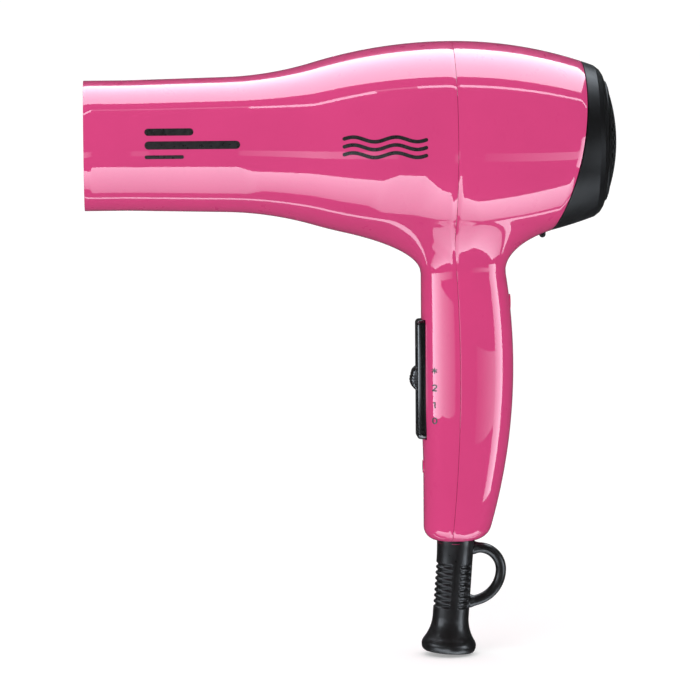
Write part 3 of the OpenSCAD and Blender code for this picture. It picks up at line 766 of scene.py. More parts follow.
def housing_shell(behind):
    """Outer skin of one housing: a stretch of the body and its half of the handle, as one sheet."""
    phi = ring_angles()
    if behind:
        s = np.linspace(0, 1, REAR_STEPS + 1)
        edge = cap_edge(phi)
        xs = [SEAM_X + (edge - SEAM_X) * k for k in s]
        inside = range(0, REAR_HOLE_STEPS)
    else:
        flats = np.concatenate([np.linspace(0, SWELL_START_X, 18),
                                np.linspace(SWELL_START_X, HOLE_FRONT_X, 24)[1:],
                                np.linspace(HOLE_FRONT_X, SEAM_X, 13)[1:]])
        xs = [np.full(AROUND, x) for x in flats]
        inside = range(len(flats) - 13, len(flats) - 1)
    body = np.vstack([body_point(x, phi) for x in xs])
    low_side = (body[:, 2] < 5) & (body[:, 0] > 85)
    body[low_side] = settle_radially(body[low_side])
    open_columns = {j % AROUND for j in range(-HOLE_STEPS, HOLE_STEPS)}
    faces = [f for i in range(len(xs) - 1) for f in grid_faces(2, AROUND, True, i * AROUND)
             if not (i in inside and f[0] - i * AROUND in open_columns)]
    left, right = HOLE_STEPS, AROUND - HOLE_STEPS
    first, last = inside[0], inside[-1] + 1
    side_rows = list(range(first, last + 1)) if behind else list(range(last, first - 1, -1))
    across = [j % AROUND for j in range(HOLE_STEPS - 1, -HOLE_STEPS, -1)]
    far = side_rows[-1]
    rim_index = ([i * AROUND + left for i in side_rows] + [far * AROUND + j for j in across]
                 + [i * AROUND + right for i in reversed(side_rows)])
    rim = body[rim_index]
    theta = np.arctan2(rim[:, 1], rim[:, 0] - seam_at(NECK_BASE_Z))
    if not behind:
        theta = np.where(theta < 0, theta + 2 * np.pi, theta)
    theta[0], theta[-1] = np.pi / 2, (-np.pi / 2 if behind else 1.5 * np.pi)
    rows = handle_sheet(rim, theta)
    start = len(body)
    columns = len(rim)
    points = np.vstack([body] + rows)
    faces += grid_faces(len(rows), columns, False, start)
    return points, faces


def shell_piece(name, behind):
    points, faces = housing_shell(behind)
    shift = SEAM_GAP if behind else -SEAM_GAP
    seam = seam_at(points[:, 2])
    on_seam = np.abs(points[:, 0] - seam) < 1e-3
    points[on_seam, 0] += shift
    piece = mesh_piece(name, points, faces, merge=2e-6)
    turn_outwards(piece, (SEAM_X + (20 if behind else -20), 0, -10))
    thicken(piece, WALL)
    round_edges(piece, 0.16, 2, 50)
    return bake(piece)


front_shell = shell_piece("front_shell", False)
rear_shell = shell_piece("rear_shell", True)

# Openings: the bezel's seat and the window behind it, both screw recesses and the release button's hole.
upper_screw_z = -67.2
lower_screw_z = -135.6
SCREW_RECESS_R = 2.8
WINDOW_HALF_Y = 3.4
WINDOW_HALF_Z = 20
cut(front_shell, block("seat", (130, bezel_low[1] - 0.1, bezel_low[2] - 0.1),
                       (bezel_high[0] + 0.05, bezel_high[1] + 0.1, bezel_high[2] + 0.1)))
bezel_z = (bezel_low[2] + bezel_high[2]) / 2
cut(front_shell, block("window", (130, -WINDOW_HALF_Y, bezel_z - WINDOW_HALF_Z),
                       (150, WINDOW_HALF_Y, bezel_z + WINDOW_HALF_Z)))
cut(front_shell, cylinder("recess", (130, 0, lower_screw_z), (146, 0, lower_screw_z), SCREW_RECESS_R))
cut(rear_shell, cylinder("recess", (170, 0, upper_screw_z), (186, 0, upper_screw_z), SCREW_RECESS_R))
button_low, button_high = box_mm("cap_release_button")
button_x = (button_low[0] + button_high[0]) / 2
cut(rear_shell, cylinder("recess", (button_x, 0, -50), (button_x, 0, -30), 1.55, 32))
boss = turned("boss", [(169.6, 1.6), (169.6, 3.6), (176.8, 3.6), (176.8, SCREW_RECESS_R),
                       (170, SCREW_RECESS_R), (170, 1.6)], 48)
boss.data.transform(Matrix.Translation((0, 0, upper_screw_z * MM)))
rear_shell = join([rear_shell, boss])
smooth(rear_shell)
place(front_shell, PINK, "housing", "pink_shell", "front_housing")
place(rear_shell, PINK, "housing", "pink_shell", "rear_housing")


# ---------------------------------------------------------------------------------------
# Filter cap
# ---------------------------------------------------------------------------------------
CAP_GAP = 0.3
CAP_WALL = 2.0
GRILLE_R = 25.2
DOME_R = 67.8
DOME_X = float(grille_high[0]) - DOME_R
PERFORATED_R = 21.4


def dome_x(radius, lift=0.0):
    return DOME_X + math.sqrt((DOME_R + lift) ** 2 - radius**2)


def cap_shell():
    """Ring with the curved parting edge in front, a faceted shoulder behind and the grille's seat inside."""
    around = 192
    phi = np.arange(around) * 2 * np.pi / around
    edge = cap_edge(phi) + CAP_GAP
    outer = [edge + (SHOULDER_X - edge) * t for t in np.linspace(0, 1, 14)]
    rows = [(x, body_radius(x)) for x in outer]
    seat_r = GRILLE_R + 0.12
    turned_rows = [(213.9, 29.85), (215.1, 28.0), (215.75, 26.1), (215.75, seat_r), (213.2, seat_r),
                   (213.2, 28.4), (210.0, body_radius(210.0) - CAP_WALL)]
    rows += [(np.full(around, x), np.full(around, float(r))) for x, r in turned_rows]
    inner = [edge + (209.5 - edge) * t for t in (0.6, 0.3, 0.0)]
    rows += [(x, body_radius(x) - CAP_WALL) for x in inner]
    points = np.vstack([np.column_stack([x, r * np.sin(phi), -r * np.cos(phi)]) for x, r in rows])
    faces = grid_faces(len(rows), around, closed=True)
    start = (len(rows) - 1) * around
    faces += [(start + j, start + (j + 1) % around, (j + 1) % around, j) for j in range(around)]
    ring = mesh_piece("cap_shell", points, faces)
    round_edges(ring, 0.22, 2, 24)
    bake(ring, 9)
    spigot = turned("spigot", [(199, 30.9), (212.2, 30.9), (212.2, 29.5), (199, 29.5)], 128)
    round_edges(spigot, 0.2)
    return join([ring, bake(spigot)])


def hexagon_tile(name, pitch, hole_r, steps=24):
    """A flat hexagon in the YZ plane, with a round hole when hole_r is given."""
    angle = np.arange(steps) * 2 * np.pi / steps
    rim = pitch / 2 / np.cos(angle % (np.pi / 3) - np.pi / 6)
    radii = [hole_r, (hole_r + pitch / 2) / 2] if hole_r else [pitch / 4]
    rings = [np.column_stack([np.zeros(steps), r * np.cos(angle), r * np.sin(angle)]) for r in (*radii, rim)]
    faces = grid_faces(len(rings), steps, closed=True)
    if not hole_r:
        faces.append(tuple(range(steps)))
    return mesh_piece(name, np.vstack(rings), faces)


def perforated_dome():
    """Hexagonal tiles with and without a hole, laid out in staggered columns and bent to the dome."""
    pitch = 3.4 * MM
    tile = hexagon_tile("tile", pitch / MM, 1.3)
    blank = hexagon_tile("blank", pitch / MM, 0)
    g = Nodes("perforated dome", Tile=tile, Blank=blank, Pitch=pitch, Across=19, Perforated=PERFORATED_R * MM,
              Dome=DOME_R * MM, Centre=DOME_X * MM, Material=SATIN)
    index = g.add("GeometryNodeInputIndex")
    column = g.math("FLOOR", g.math("DIVIDE", index, g.input("Across")))
    row = g.math("FLOORED_MODULO", index, g.input("Across"))
    half = g.math("DIVIDE", g.math("SUBTRACT", g.input("Across"), 1.0), 2.0)
    stagger = g.math("MULTIPLY", g.math("FLOORED_MODULO", g.math("ADD", column, 1.0), 2.0), 0.5)
    columns_apart = g.math("MULTIPLY", g.math("SUBTRACT", column, half), g.input("Pitch"))
    y = g.math("MULTIPLY", columns_apart, math.sqrt(3) / 2)
    z = g.math("MULTIPLY", g.math("ADD", g.math("SUBTRACT", row, half), stagger), g.input("Pitch"))
    place_at = g.add("ShaderNodeCombineXYZ", X=0.0, Y=y, Z=z)
    count = g.math("MULTIPLY", g.input("Across"), g.input("Across"))
    points = g.add("GeometryNodePoints", Count=count, Position=place_at)
    here = g.add("GeometryNodeInputPosition")
    reach = g.add("ShaderNodeVectorMath", {"operation": "LENGTH"}, i0=here).outputs["Value"]
    inside = g.add("FunctionNodeCompare", {"operation": "LESS_THAN"}, i0=reach, i1=g.input("Perforated"))
    beyond = g.add("FunctionNodeBooleanMath", {"operation": "NOT"}, i0=inside)
    sets = []
    for key, where in (("Tile", inside), ("Blank", beyond)):
        shape = g.add("GeometryNodeObjectInfo", Object=g.input(key)).outputs["Geometry"]
        sets.append(g.add("GeometryNodeInstanceOnPoints", Points=points, Selection=where, Instance=shape))
    both = g.add("GeometryNodeJoinGeometry")
    for one in sets:
        g.tree.links.new(one.outputs[0], both.inputs[0])
    flat = g.add("GeometryNodeRealizeInstances", Geometry=both)
    sheet = g.add("GeometryNodeMergeByDistance", Geometry=flat, Distance=0.00002)
    there = g.add("GeometryNodeInputPosition")
    part = g.add("ShaderNodeSeparateXYZ", Vector=there)
    flat_r = g.add("ShaderNodeVectorMath", {"operation": "LENGTH"}, i0=there).outputs["Value"]
    square = g.math("SUBTRACT", g.math("POWER", g.input("Dome"), 2.0), g.math("POWER", flat_r, 2.0))
    depth = g.math("ADD", g.math("SQRT", square), g.input("Centre"))
    bent = g.add("ShaderNodeCombineXYZ", X=depth, Y=part.outputs["Y"], Z=part.outputs["Z"])
    dome = g.add("GeometryNodeSetPosition", Geometry=sheet, Position=bent)
    piece = g.finish(dome, "grille_dome")
    bpy.data.objects.remove(tile)
    bpy.data.objects.remove(blank)
    bm = bmesh.new()
    bm.from_mesh(piece.data)
    outside = [f for f in bm.faces if math.hypot(*f.calc_center_median()[1:]) > 24.4 * MM]
    bmesh.ops.delete(bm, geom=outside, context="FACES")
    bmesh.ops.recalc_face_normals(bm, faces=bm.faces)
    bm.to_mesh(piece.data)
    bm.free()
    turn_outwards(piece, (DOME_X, 0, 0))
    thicken(piece, 0.5)
    round_edges(piece, 0.1, 2, 50)
    bake(piece)
    profile = ((23.2, -0.05), (23.45, 0.28), (24.8, 0.28), (25.2, -0.05), (25.2, -1.5), (23.2, -1.5))
    rim = turned("rim", [(dome_x(r, lift), r) for r, lift in profile], 128)
    round_edges(rim, 0.12)
    return join([piece, bake(rim)])


def woven_screen():
    """Crossing wires that pass over and under one another, held in a flat ring."""
    pitch = 1.3
    bow = 0.16
    steps = np.linspace(-0.5, 0.5, 5)
    wires = []
    for turn in (0, 1):
        sway = bow * np.cos(steps * 2 * np.pi) * (1 if turn else -1)
        path = np.column_stack([sway, steps * pitch, 0 * steps])
        bar = tube_along("wire", path[:, [0, 2, 1]], 0.13, 6)
        bar.data.transform(Matrix.Rotation(math.pi / 2 * turn, 4, "X"))
        wires.append(bar)
    cell = join(wires)
    g = Nodes("woven screen", Cell=cell, Pitch=pitch * MM, Across=41, Reach=26.2 * MM, Where=209.2 * MM,
              Material=MESH_STEEL)
    index = g.add("GeometryNodeInputIndex")
    half = g.math("DIVIDE", g.math("SUBTRACT", g.input("Across"), 1.0), 2.0)
    column = g.math("SUBTRACT", g.math("FLOOR", g.math("DIVIDE", index, g.input("Across"))), half)
    row = g.math("SUBTRACT", g.math("FLOORED_MODULO", index, g.input("Across")), half)
    at = g.add("ShaderNodeCombineXYZ", X=g.input("Where"), Y=g.math("MULTIPLY", column, g.input("Pitch")),
               Z=g.math("MULTIPLY", row, g.input("Pitch")))
    count = g.math("MULTIPLY", g.input("Across"), g.input("Across"))
    points = g.add("GeometryNodePoints", Count=count, Position=at)
    part = g.add("ShaderNodeSeparateXYZ", Vector=g.add("GeometryNodeInputPosition"))
    reach = g.math("SQRT", g.math("ADD", g.math("POWER", part.outputs["Y"], 2.0),
                                  g.math("POWER", part.outputs["Z"], 2.0)))
    inside = g.add("FunctionNodeCompare", {"operation": "LESS_THAN"}, i0=reach, i1=g.input("Reach"))
    odd = g.math("FLOORED_MODULO", g.math("ADD", column, row), 2.0)
    flip = g.math("SUBTRACT", 1.0, g.math("MULTIPLY", odd, 2.0))
    over = g.add("ShaderNodeCombineXYZ", X=flip, Y=1.0, Z=1.0)
    shape = g.add("GeometryNodeObjectInfo", Object=g.input("Cell")).outputs["Geometry"]
    weave = g.add("GeometryNodeInstanceOnPoints", Points=points, Selection=inside, Instance=shape, Scale=over)
    piece = g.finish(weave, "woven_screen")
    bpy.data.objects.remove(cell)
    ring = turned("ring", [(208.5, 29.2), (210, 29.2), (210, 26.1), (208.5, 26.1)], 96)
    round_edges(ring, 0.2)
    return join([piece, bake(ring)])


place(cap_shell(), SATIN, "filter_cap", "satin_black", "cap_ring")
place(perforated_dome(), SATIN, "filter_cap", "satin_black", "inlet_grille")
place(woven_screen(), MESH_STEEL, "filter_cap", "steel_mesh", "lint_screen")


# ---------------------------------------------------------------------------------------
# Slide switch
# ---------------------------------------------------------------------------------------
knob_low, knob_high = box_mm("slider_knob")
KNOB_Z = (knob_low[2] + knob_high[2]) / 2
KNOB_UP = 6.9
KNOB_DOWN = 13.8


def rounded_plate(name, layers, half_y, z_low, z_high, corner):
    """A plate facing -X from layers of (x, inset), with rounded corners in the YZ plane."""
    quarter = np.linspace(0, np.pi / 2, 7)
    rings = []
    for x, inset in layers:
        c = corner - inset
        y, z0, z1 = half_y - inset - c, z_low + inset + c, z_high - inset - c
        ring = []
        for k, (cy, cz) in enumerate(((y, z1), (-y, z1), (-y, z0), (y, z0))):
            angle = quarter + k * np.pi / 2
            ring.append(np.column_stack([np.full(7, x), cy + c * np.cos(angle), cz + c * np.sin(angle)]))
        rings.append(np.vstack(ring))
    n = len(rings)
    faces = grid_faces(n, 28, closed=True)
    faces += [tuple(range(28)), tuple(range(n * 28 - 1, (n - 1) * 28 - 1, -1))]
    return mesh_piece(name, np.vstack(rings), faces)


def switch_bezel():
    """Long black frame with softened edges and a sunk track for the knob."""
    face, back = bezel_low[0], bezel_high[0]
    layers = [(back, 0), (face + 1.5, 0), (face + 0.75, 0.22), (face + 0.3, 0.6), (face, 1.15)]
    half_y = (bezel_high[1] - bezel_low[1]) / 2
    plate = rounded_plate("bezel", layers, half_y, bezel_low[2], bezel_high[2], 2.2)
    low, high = KNOB_Z - KNOB_DOWN - 6.1, KNOB_Z + KNOB_UP + 6.1
    sunk = [(face - 1, 0), (face + 1.0, 0), (face + 1.2, 0.15)]
    cut(plate, rounded_plate("track", sunk, 5.4, low, high, 0.9))
    cut(plate, block("slot", (face - 1, -1.6, low + 2.8), (back + 1, 1.6, high - 2.8)))
    round_edges(plate, 0.12, 2, 45)
    return bake(plate)


def switch_knob():
    """Oval thumb bump with grip ribs across its lower half."""
    face, foot = knob_low[0], bezel_low[0] + 0.9
    u, v = np.meshgrid(np.linspace(-1, 1, 49), np.linspace(-1, 1, 121))
    half_y, half_z = (knob_high[1] - knob_low[1]) / 2, (knob_high[2] - knob_low[2]) / 2
    height = (1 - np.abs(v) ** 2.3).clip(0) ** 0.62 * (1 - np.abs(u) ** 5).clip(0) ** 0.4
    lower_half = np.clip(1.25 - 2.2 * (v - 0.05), 0, 1)
    ribs = 0.28 * np.clip(np.cos(v * half_z * 2 * np.pi / 1.25), 0, 1) * lower_half
    waist = 1 - 0.10 * np.exp(-((v - 0.35) / 0.3) ** 2)
    x = foot - (foot - face - 0.05) * height * waist + ribs * height
    top = np.column_stack([x.ravel(), u.ravel() * half_y, KNOB_Z + v.ravel() * half_z])
    rows, columns = x.shape
    base = top.copy()
    base[:, 0] = foot + 0.25
    points = np.vstack([top, base])
    n = rows * columns
    faces = grid_faces(rows, columns) + [tuple(reversed(f)) for f in grid_faces(rows, columns, start=n)]
    rim = list(range(columns)) + [i * columns + columns - 1 for i in range(1, rows)]
    rim += [(rows - 1) * columns + j for j in range(columns - 2, -1, -1)]
    rim += [i * columns for i in range(rows - 2, 0, -1)]
    faces += [(here, there, n + there, n + here) for here, there in zip(rim, rim[1:] + rim[:1])]
    bump = mesh_piece("knob", points, faces)
    smooth(bump, 50)
    stem = block("stem", (foot, -1.3, KNOB_Z - 2.8), (knob_high[0], 1.3, KNOB_Z + 2.8))
    round_edges(stem, 0.2)
    return join([bump, bake(stem)])


place(switch_bezel(), GLOSS, "housing", "satin_black", "switch_bezel")
place(switch_knob(), GLOSS, "switch_slider", "satin_black", "slider_knob")


# ---------------------------------------------------------------------------------------
# Cord guard
# ---------------------------------------------------------------------------------------
GUARD_LEAN = math.radians(4.2)
NECK_R = 7.9
GUARD_R = 7.6
BELL_R = 11.25
BORE_R = 3.9
LOOP_R = 2.2


def guard_outline():
    """(height on the guard's axis, radius) from the top down the outside and back up the bore."""
    outline = [(4.0, NECK_R), (1.0, NECK_R)]
    outline += [(-s, GUARD_R + (NECK_R - GUARD_R) * (1 - s / 7) ** 2) for s in np.linspace(0, 7, 8)]
    outline += [(s, GUARD_R) for s in np.arange(-7.2, -30.6, -0.17)]
    flare = np.radians(np.linspace(181, 216, 18))
    outline += [(-31 + 17 * math.sin(a), GUARD_R + 17 + 17 * math.cos(a)) for a in flare]
    outline += [(-41.9, BELL_R), (-42.5, BELL_R + 0.2), (-43.1, BELL_R + 0.2)]
    lip = np.radians([12, 28, 45, 62, 78, 90])
    outline += [(-43.2 - 2.8 * math.sin(a), BELL_R - 1.6 + 1.8 * math.cos(a)) for a in lip]
    outline += [(-46.1, 9.2), (-45.6, 8.8)]
    mouth = np.radians(np.linspace(64, 0, 9))
    outline += [(-38 - 7.7 * math.sin(a), BORE_R + 7.7 - 7.7 * math.cos(a)) for a in mouth]
    return outline + [(-20.0, BORE_R), (4.0, BORE_R)]


def flexing_grooves(smooth_guard):
    """Sinks grooves round the guard, left out along a band on each side and at the loop."""
    g = Nodes("flexing grooves", Count=8, First=-9.4 * MM, Pitch=2.42 * MM, Width=1.0 * MM, Depth=0.75 * MM,
              Guard=smooth_guard, Material=SOFT)
    shape = g.add("GeometryNodeObjectInfo", Object=g.input("Guard")).outputs["Geometry"]
    part = g.add("ShaderNodeSeparateXYZ", Vector=g.add("GeometryNodeInputPosition"))
    x, y, z = (part.outputs[k] for k in "XYZ")
    order = g.math("DIVIDE", g.math("SUBTRACT", g.input("First"), z), g.input("Pitch"))
    last = g.math("SUBTRACT", g.input("Count"), 1.0)
    nearest = g.math("MINIMUM", g.math("MAXIMUM", g.math("ROUND", order), 0.0), last)
    off = g.math("MULTIPLY", g.math("ABSOLUTE", g.math("SUBTRACT", order, nearest)), g.input("Pitch"))

    def fade(value, start, end):
        return g.add("ShaderNodeMapRange", {"interpolation_type": "SMOOTHSTEP"}, Value=value, From_Min=start,
                     From_Max=end, To_Min=0.0, To_Max=1.0).outputs[0]

    groove = fade(off, g.input("Width"), g.math("MULTIPLY", g.input("Width"), 0.2))
    side = fade(g.math("ABSOLUTE", g.math("SUBTRACT", x, 0.0006)), 0.0016, 0.0023)
    loop = g.math("MAXIMUM", fade(g.math("ABSOLUTE", y), 0.0024, 0.0031), g.math("LESS_THAN", x, 0.0))
    radius = g.math("SQRT", g.math("ADD", g.math("POWER", x, 2.0), g.math("POWER", y, 2.0)))
    skin = g.math("GREATER_THAN", radius, 0.006)
    where = g.math("MULTIPLY", g.math("MULTIPLY", groove, side), g.math("MULTIPLY", loop, skin))
    sunk = g.math("MULTIPLY", where, g.input("Depth"))
    share = g.math("SUBTRACT", 1.0, g.math("DIVIDE", sunk, radius))
    moved = g.add("ShaderNodeCombineXYZ", X=g.math("MULTIPLY", x, share), Y=g.math("MULTIPLY", y, share), Z=z)
    return g.finish(g.add("GeometryNodeSetPosition", Geometry=shape, Position=moved), "guard")


def cord_guard():
    steps = 128
    angle = np.arange(steps) * 2 * np.pi / steps
    rings = [np.column_stack([r * np.cos(angle), r * np.sin(angle), np.full(steps, h)])
             for h, r in guard_outline()]
    n = len(rings)
    faces = grid_faces(n, steps, closed=True)
    start = (n - 1) * steps
    faces += [(start + j, start + (j + 1) % steps, (j + 1) % steps, j) for j in range(steps)]
    plain = mesh_piece("plain", np.vstack(rings), faces)
    guard = flexing_grooves(plain)
    bpy.data.objects.remove(plain)
    to_frame = Matrix.Translation(Vector(GUARD_TOP) * MM) @ Matrix.Rotation(GUARD_LEAN, 4, "Y")
    guard.data.transform(to_frame)
    return join([guard, hanging_loop()])


def hanging_loop():
    """D-shaped loop whose ends swell a little where they join the guard."""
    small, large, top = 9.2, 13.4, -170.3
    turn_x, turn_z = 163.3, top - small
    path = [(x, 0, top) for x in np.linspace(156, turn_x, 9)]
    upper = np.linspace(0, np.pi / 2, 17)[1:]
    path += [(turn_x + small * math.sin(a), 0, turn_z + small * math.cos(a)) for a in upper]
    far_x = turn_x + small - large
    lower = np.linspace(0, np.pi / 2, 25)[1:]
    path += [(far_x + large * math.cos(a), 0, turn_z - large * math.sin(a)) for a in lower]
    path += [(x, 0, turn_z - large) for x in np.linspace(far_x, 154, 5)[1:]]
    path = np.array(path)
    neck = GUARD_TOP[0] + (path[:, 2] - GUARD_TOP[2]) * math.tan(GUARD_LEAN) + GUARD_R
    radii = LOOP_R + 0.7 * np.exp(-(((path[:, 0] - neck) / 1.4) ** 2))
    loop = tube_along("loop", path, radii, 32)
    smooth(loop, 60)
    return loop


place(cord_guard(), SOFT, "housing", "guard_rubber", "strain_relief")


# ---------------------------------------------------------------------------------------
# Printed marks: plain bars, air-flow waves and the switch's settings
# ---------------------------------------------------------------------------------------
PRINT_LIFT = 0.03


def on_barrel(x, z):
    """Points just outside the viewer's side of barrel and body."""
    r = body_radius(x) + PRINT_LIFT
    return np.column_stack([x, -np.sqrt(r * r - z * z), z])


def on_handle(x, z):
    """Points just outside the viewer's side of the handle."""
    mid, half_d, half_w = handle_section(z)
    y = half_w * (1 - np.abs((x - mid) / half_d) ** HANDLE_POWER) ** (1 / HANDLE_POWER)
    return np.column_stack([x, -y - 4 * PRINT_LIFT, z])


def ribbon(name, line, width, surface, rounded=True):
    """A printed stroke along a line of (x, z) points, laid on a surface."""
    line = np.asarray(line, float)
    along = np.concatenate([[0], np.cumsum(np.hypot(*np.diff(line, axis=0).T))])
    count = max(8, int(along[-1] / (width * 0.12)))
    at = np.linspace(0, along[-1], min(count, 160))
    if rounded:
        ends = width / 2 * (1 - np.cos(np.linspace(0, np.pi / 2, 9)))
        between = at[(at > width / 2) & (at < along[-1] - width / 2)]
        at = np.unique(np.concatenate([ends, between, along[-1] - ends]))
    x, z = np.interp(at, along, line[:, 0]), np.interp(at, along, line[:, 1])
    way = np.stack([np.gradient(x, at), np.gradient(z, at)], 1)
    way /= np.linalg.norm(way, axis=1)[:, None] + 1e-12
    half = np.full(len(at), width / 2)
    if rounded:
        near = np.minimum(at, along[-1] - at).clip(0, width / 2)
        half = np.sqrt((width / 2) ** 2 - (width / 2 - near) ** 2).clip(width * 0.04)
    across = np.linspace(-1, 1, 7)
    px = x[:, None] - way[:, 1:] * half[:, None] * across
    pz = z[:, None] + way[:, :1] * half[:, None] * across
    piece = mesh_piece(name, surface(px.ravel(), pz.ravel()), grid_faces(len(at), 7))
    if sum(f.normal.y for f in piece.data.polygons) > 0:
        piece.data.flip_normals()
    thicken(piece, 0.03, 1, even=False)
    return bake(piece)


def arc_line(cx, cz, rx, rz, start, end, steps=40):
    a = np.radians(np.linspace(start, end, steps))
    return [(cx + rx * math.cos(t), cz + rz * math.sin(t)) for t in a]


def barrel_print():
    bars = [(25, 45, 6.6, 2.9), (25, 64, 1.2, 3.3), (25, 41, -3.6, 1.5)]
    strokes = [ribbon("bar", [(x0, z), (x1, z)], width, on_barrel) for x0, x1, z, width in bars]
    for z0 in (3.3, 0.1, -3.1):
        wave = [(x, z0 + 0.95 * math.sin((x - 105.5) * 2 * math.pi / 17.25))
                for x in np.linspace(105.5, 140, 120)]
        strokes.append(ribbon("wave", wave, 1.5, on_barrel))
    piece = join(strokes)
    piece.name = "barrel_print"
    return piece


def switch_print():
    x, w = 144.2, 0.5
    strokes = []
    for k in range(3):
        a = math.radians(60 * k + 30)
        dx, dz = 1.25 * math.cos(a), 1.25 * math.sin(a)
        strokes.append(ribbon("arm", [(x - dx, -94.4 - dz), (x + dx, -94.4 + dz)], w * 0.8, on_handle))
    two = arc_line(x, -100.95, 0.8, 0.62, 165, -20, 24) + [(x - 0.8, -102.75), (x + 0.9, -102.75)]
    one = [(x - 0.55, -107.95), (x + 0.1, -107.6), (x + 0.1, -110.0)]
    nought = arc_line(x, -115.3, 0.8, 1.15, 90, 450, 48)
    for line in (two, one, nought):
        strokes.append(ribbon("stroke", line, w, on_handle, rounded=False))
    piece = join(strokes)
    piece.name = "switch_print"
    return piece


place(barrel_print(), INK, "housing", "pink_shell")
place(switch_print(), INK, "housing", "pink_shell")

# ---------------------------------------------------------------------------------------
# CAD nodes that keep their shape
# ---------------------------------------------------------------------------------------
KEPT = {
    "screw_plug": PINK, "cap_release_button": SATIN, "release_spring": SPRING, "outlet_grille": MATT,
    "mica_tube": MICA, "heater_frame": MICA, "heater_coil": WIRE, "thermostat": STEEL,
    "thermal_fuse": STEEL, "air_guide": MATT, "motor_holder": MATT, "motor_can": STEEL,
    "motor_end_cap": MATT, "motor_magnets": FERRITE, "motor_brushes": CARBON,
    "motor_terminals": BRASS, "fan_side_bush": BRASS, "brush_side_bush": BRASS,
    "motor_screws": STEEL, "rectifier_board": BOARD, "rectifier_diodes": MATT,
    "motor_shaft": STEEL, "armature_core": CORE, "armature_windings": COPPER,
    "commutator": COPPER, "fan_impeller": MATT,
    "contact_slider": BRASS, "switch_body": MATT, "switch_terminals": BRASS,
    "cord_clamp": MATT, "cord_clamp_screws": STEEL,
    "housing_screws": STEEL, "line_lead": BROWN, "neutral_lead": BLUE, "heater_lead": BLACK_LEAD,
}
for node, material in KEPT.items():
    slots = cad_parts[node].data.materials
    for i in range(len(slots)):
        slots[i] = material
    if not len(slots):
        slots.append(material)

# ---------------------------------------------------------------------------------------
# Studio
# ---------------------------------------------------------------------------------------
FLOOR_Z_m = CAD_BOX[0][2] - 0.0005
SIGHT_M = 1.2                             # how far away the reflected panels stand


def shown_material(name, seen, lit):
    """A matt stage surface that shows itself brighter than it is lit."""
    material = bpy.data.materials.new(name)
    material.use_nodes = True
    shader = material.node_tree.nodes["Principled BSDF"]
    shader.inputs["Base Color"].default_value = (lit, lit, lit, 1)
    shader.inputs["Roughness"].default_value = 0.8
    shader.inputs["Specular IOR Level"].default_value = 0.0
    shader.inputs["Emission Color"].default_value = (1, 1, 1, 1)
    shader.inputs["Emission Strength"].default_value = seen
    return material


def floor_sweep():
    """A pale floor that curves up into a backdrop. The glossy plastic doesn't mirror it."""
    profile = [(-3.0, 0.0), (2.2, 0.0)]
    profile += [(2.2 + 1.2 * math.sin(a), 1.2 - 1.2 * math.cos(a)) for a in np.linspace(0.1, math.pi / 2, 14)]
    profile += [(3.4, 4.5)]
    points = [(x, y, FLOOR_Z_m + z) for x in (-5.0, 5.0) for y, z in profile]
    n = len(profile)
    mesh = bpy.data.meshes.new("floor")
    mesh.from_pydata(points, [], [(i, n + i, n + i + 1, i + 1) for i in range(n - 1)])
    floor = bpy.data.objects.new("floor", mesh)
    bpy.context.scene.collection.objects.link(floor)
    mesh.materials.append(shown_material("pale floor", 0.30, 0.80))
    smooth(floor, 60)
    floor.visible_glossy = False


def panel_material(name, near, far, power=1.0):
    """A lit panel whose brightness runs from near to far across its V coordinate."""
    material = bpy.data.materials.new(name)
    material.use_nodes = True
    nodes, links = material.node_tree.nodes, material.node_tree.links
    nodes.clear()
    place = nodes.new("ShaderNodeUVMap")
    split = nodes.new("ShaderNodeSeparateXYZ")
    links.new(place.outputs["UV"], split.inputs[0])
    bend = nodes.new("ShaderNodeMath")
    bend.operation = "POWER"
    bend.inputs[1].default_value = power
    links.new(split.outputs["Y"], bend.inputs[0])
    reach = nodes.new("ShaderNodeMapRange")
    reach.inputs["To Min"].default_value = near
    reach.inputs["To Max"].default_value = far
    links.new(bend.outputs[0], reach.inputs["Value"])
    glow = nodes.new("ShaderNodeEmission")
    glow.inputs["Color"].default_value = (0.88, 0.96, 1.05, 1)
    links.new(reach.outputs[0], glow.inputs["Strength"])
    out = nodes.new("ShaderNodeOutputMaterial")
    links.new(glow.outputs[0], out.inputs["Surface"])
    material.cycles.emission_sampling = "NONE"
    return material


def panel(name, edge, far_edge, near, far, power=1.0):
    """A strip between two rows of corners that is only seen in reflections; V runs from edge to far_edge."""
    n = len(edge)
    mesh = bpy.data.meshes.new(name)
    mesh.from_pydata([tuple(map(float, c)) for c in [*edge, *far_edge]], [],
                     [(i, i + 1, n + i + 1, n + i) for i in range(n - 1)])
    layer = mesh.uv_layers.new(name="UVMap")
    for i in range(n - 1):
        for loop, v in zip(layer.data[4 * i:4 * i + 4], (0, 0, 1, 1)):
            loop.uv = (0.5, v)
    mesh.materials.append(panel_material(name, near, far, power))
    piece = bpy.data.objects.new(name, mesh)
    bpy.context.scene.collection.objects.link(piece)
    piece.visible_camera = False
    piece.visible_diffuse = False
    piece.visible_shadow = False
    piece.visible_transmission = False


def ahead(angle, distance):
    """y and z of a point seen from the barrel's axis; the angle rises from straight at the viewer."""
    return -distance * math.cos(math.radians(angle)), distance * math.sin(math.radians(angle))


def bar_panel(name, stations, near, far, distance=SIGHT_M, power=1.0):
    """A panel along the barrel; each station gives x and the two angles of sight it lies between."""
    edge = [(x, *ahead(a, distance)) for x, a, b in stations]
    far_edge = [(x, *ahead(b, distance)) for x, a, b in stations]
    panel(name, edge, far_edge, near, far, power)


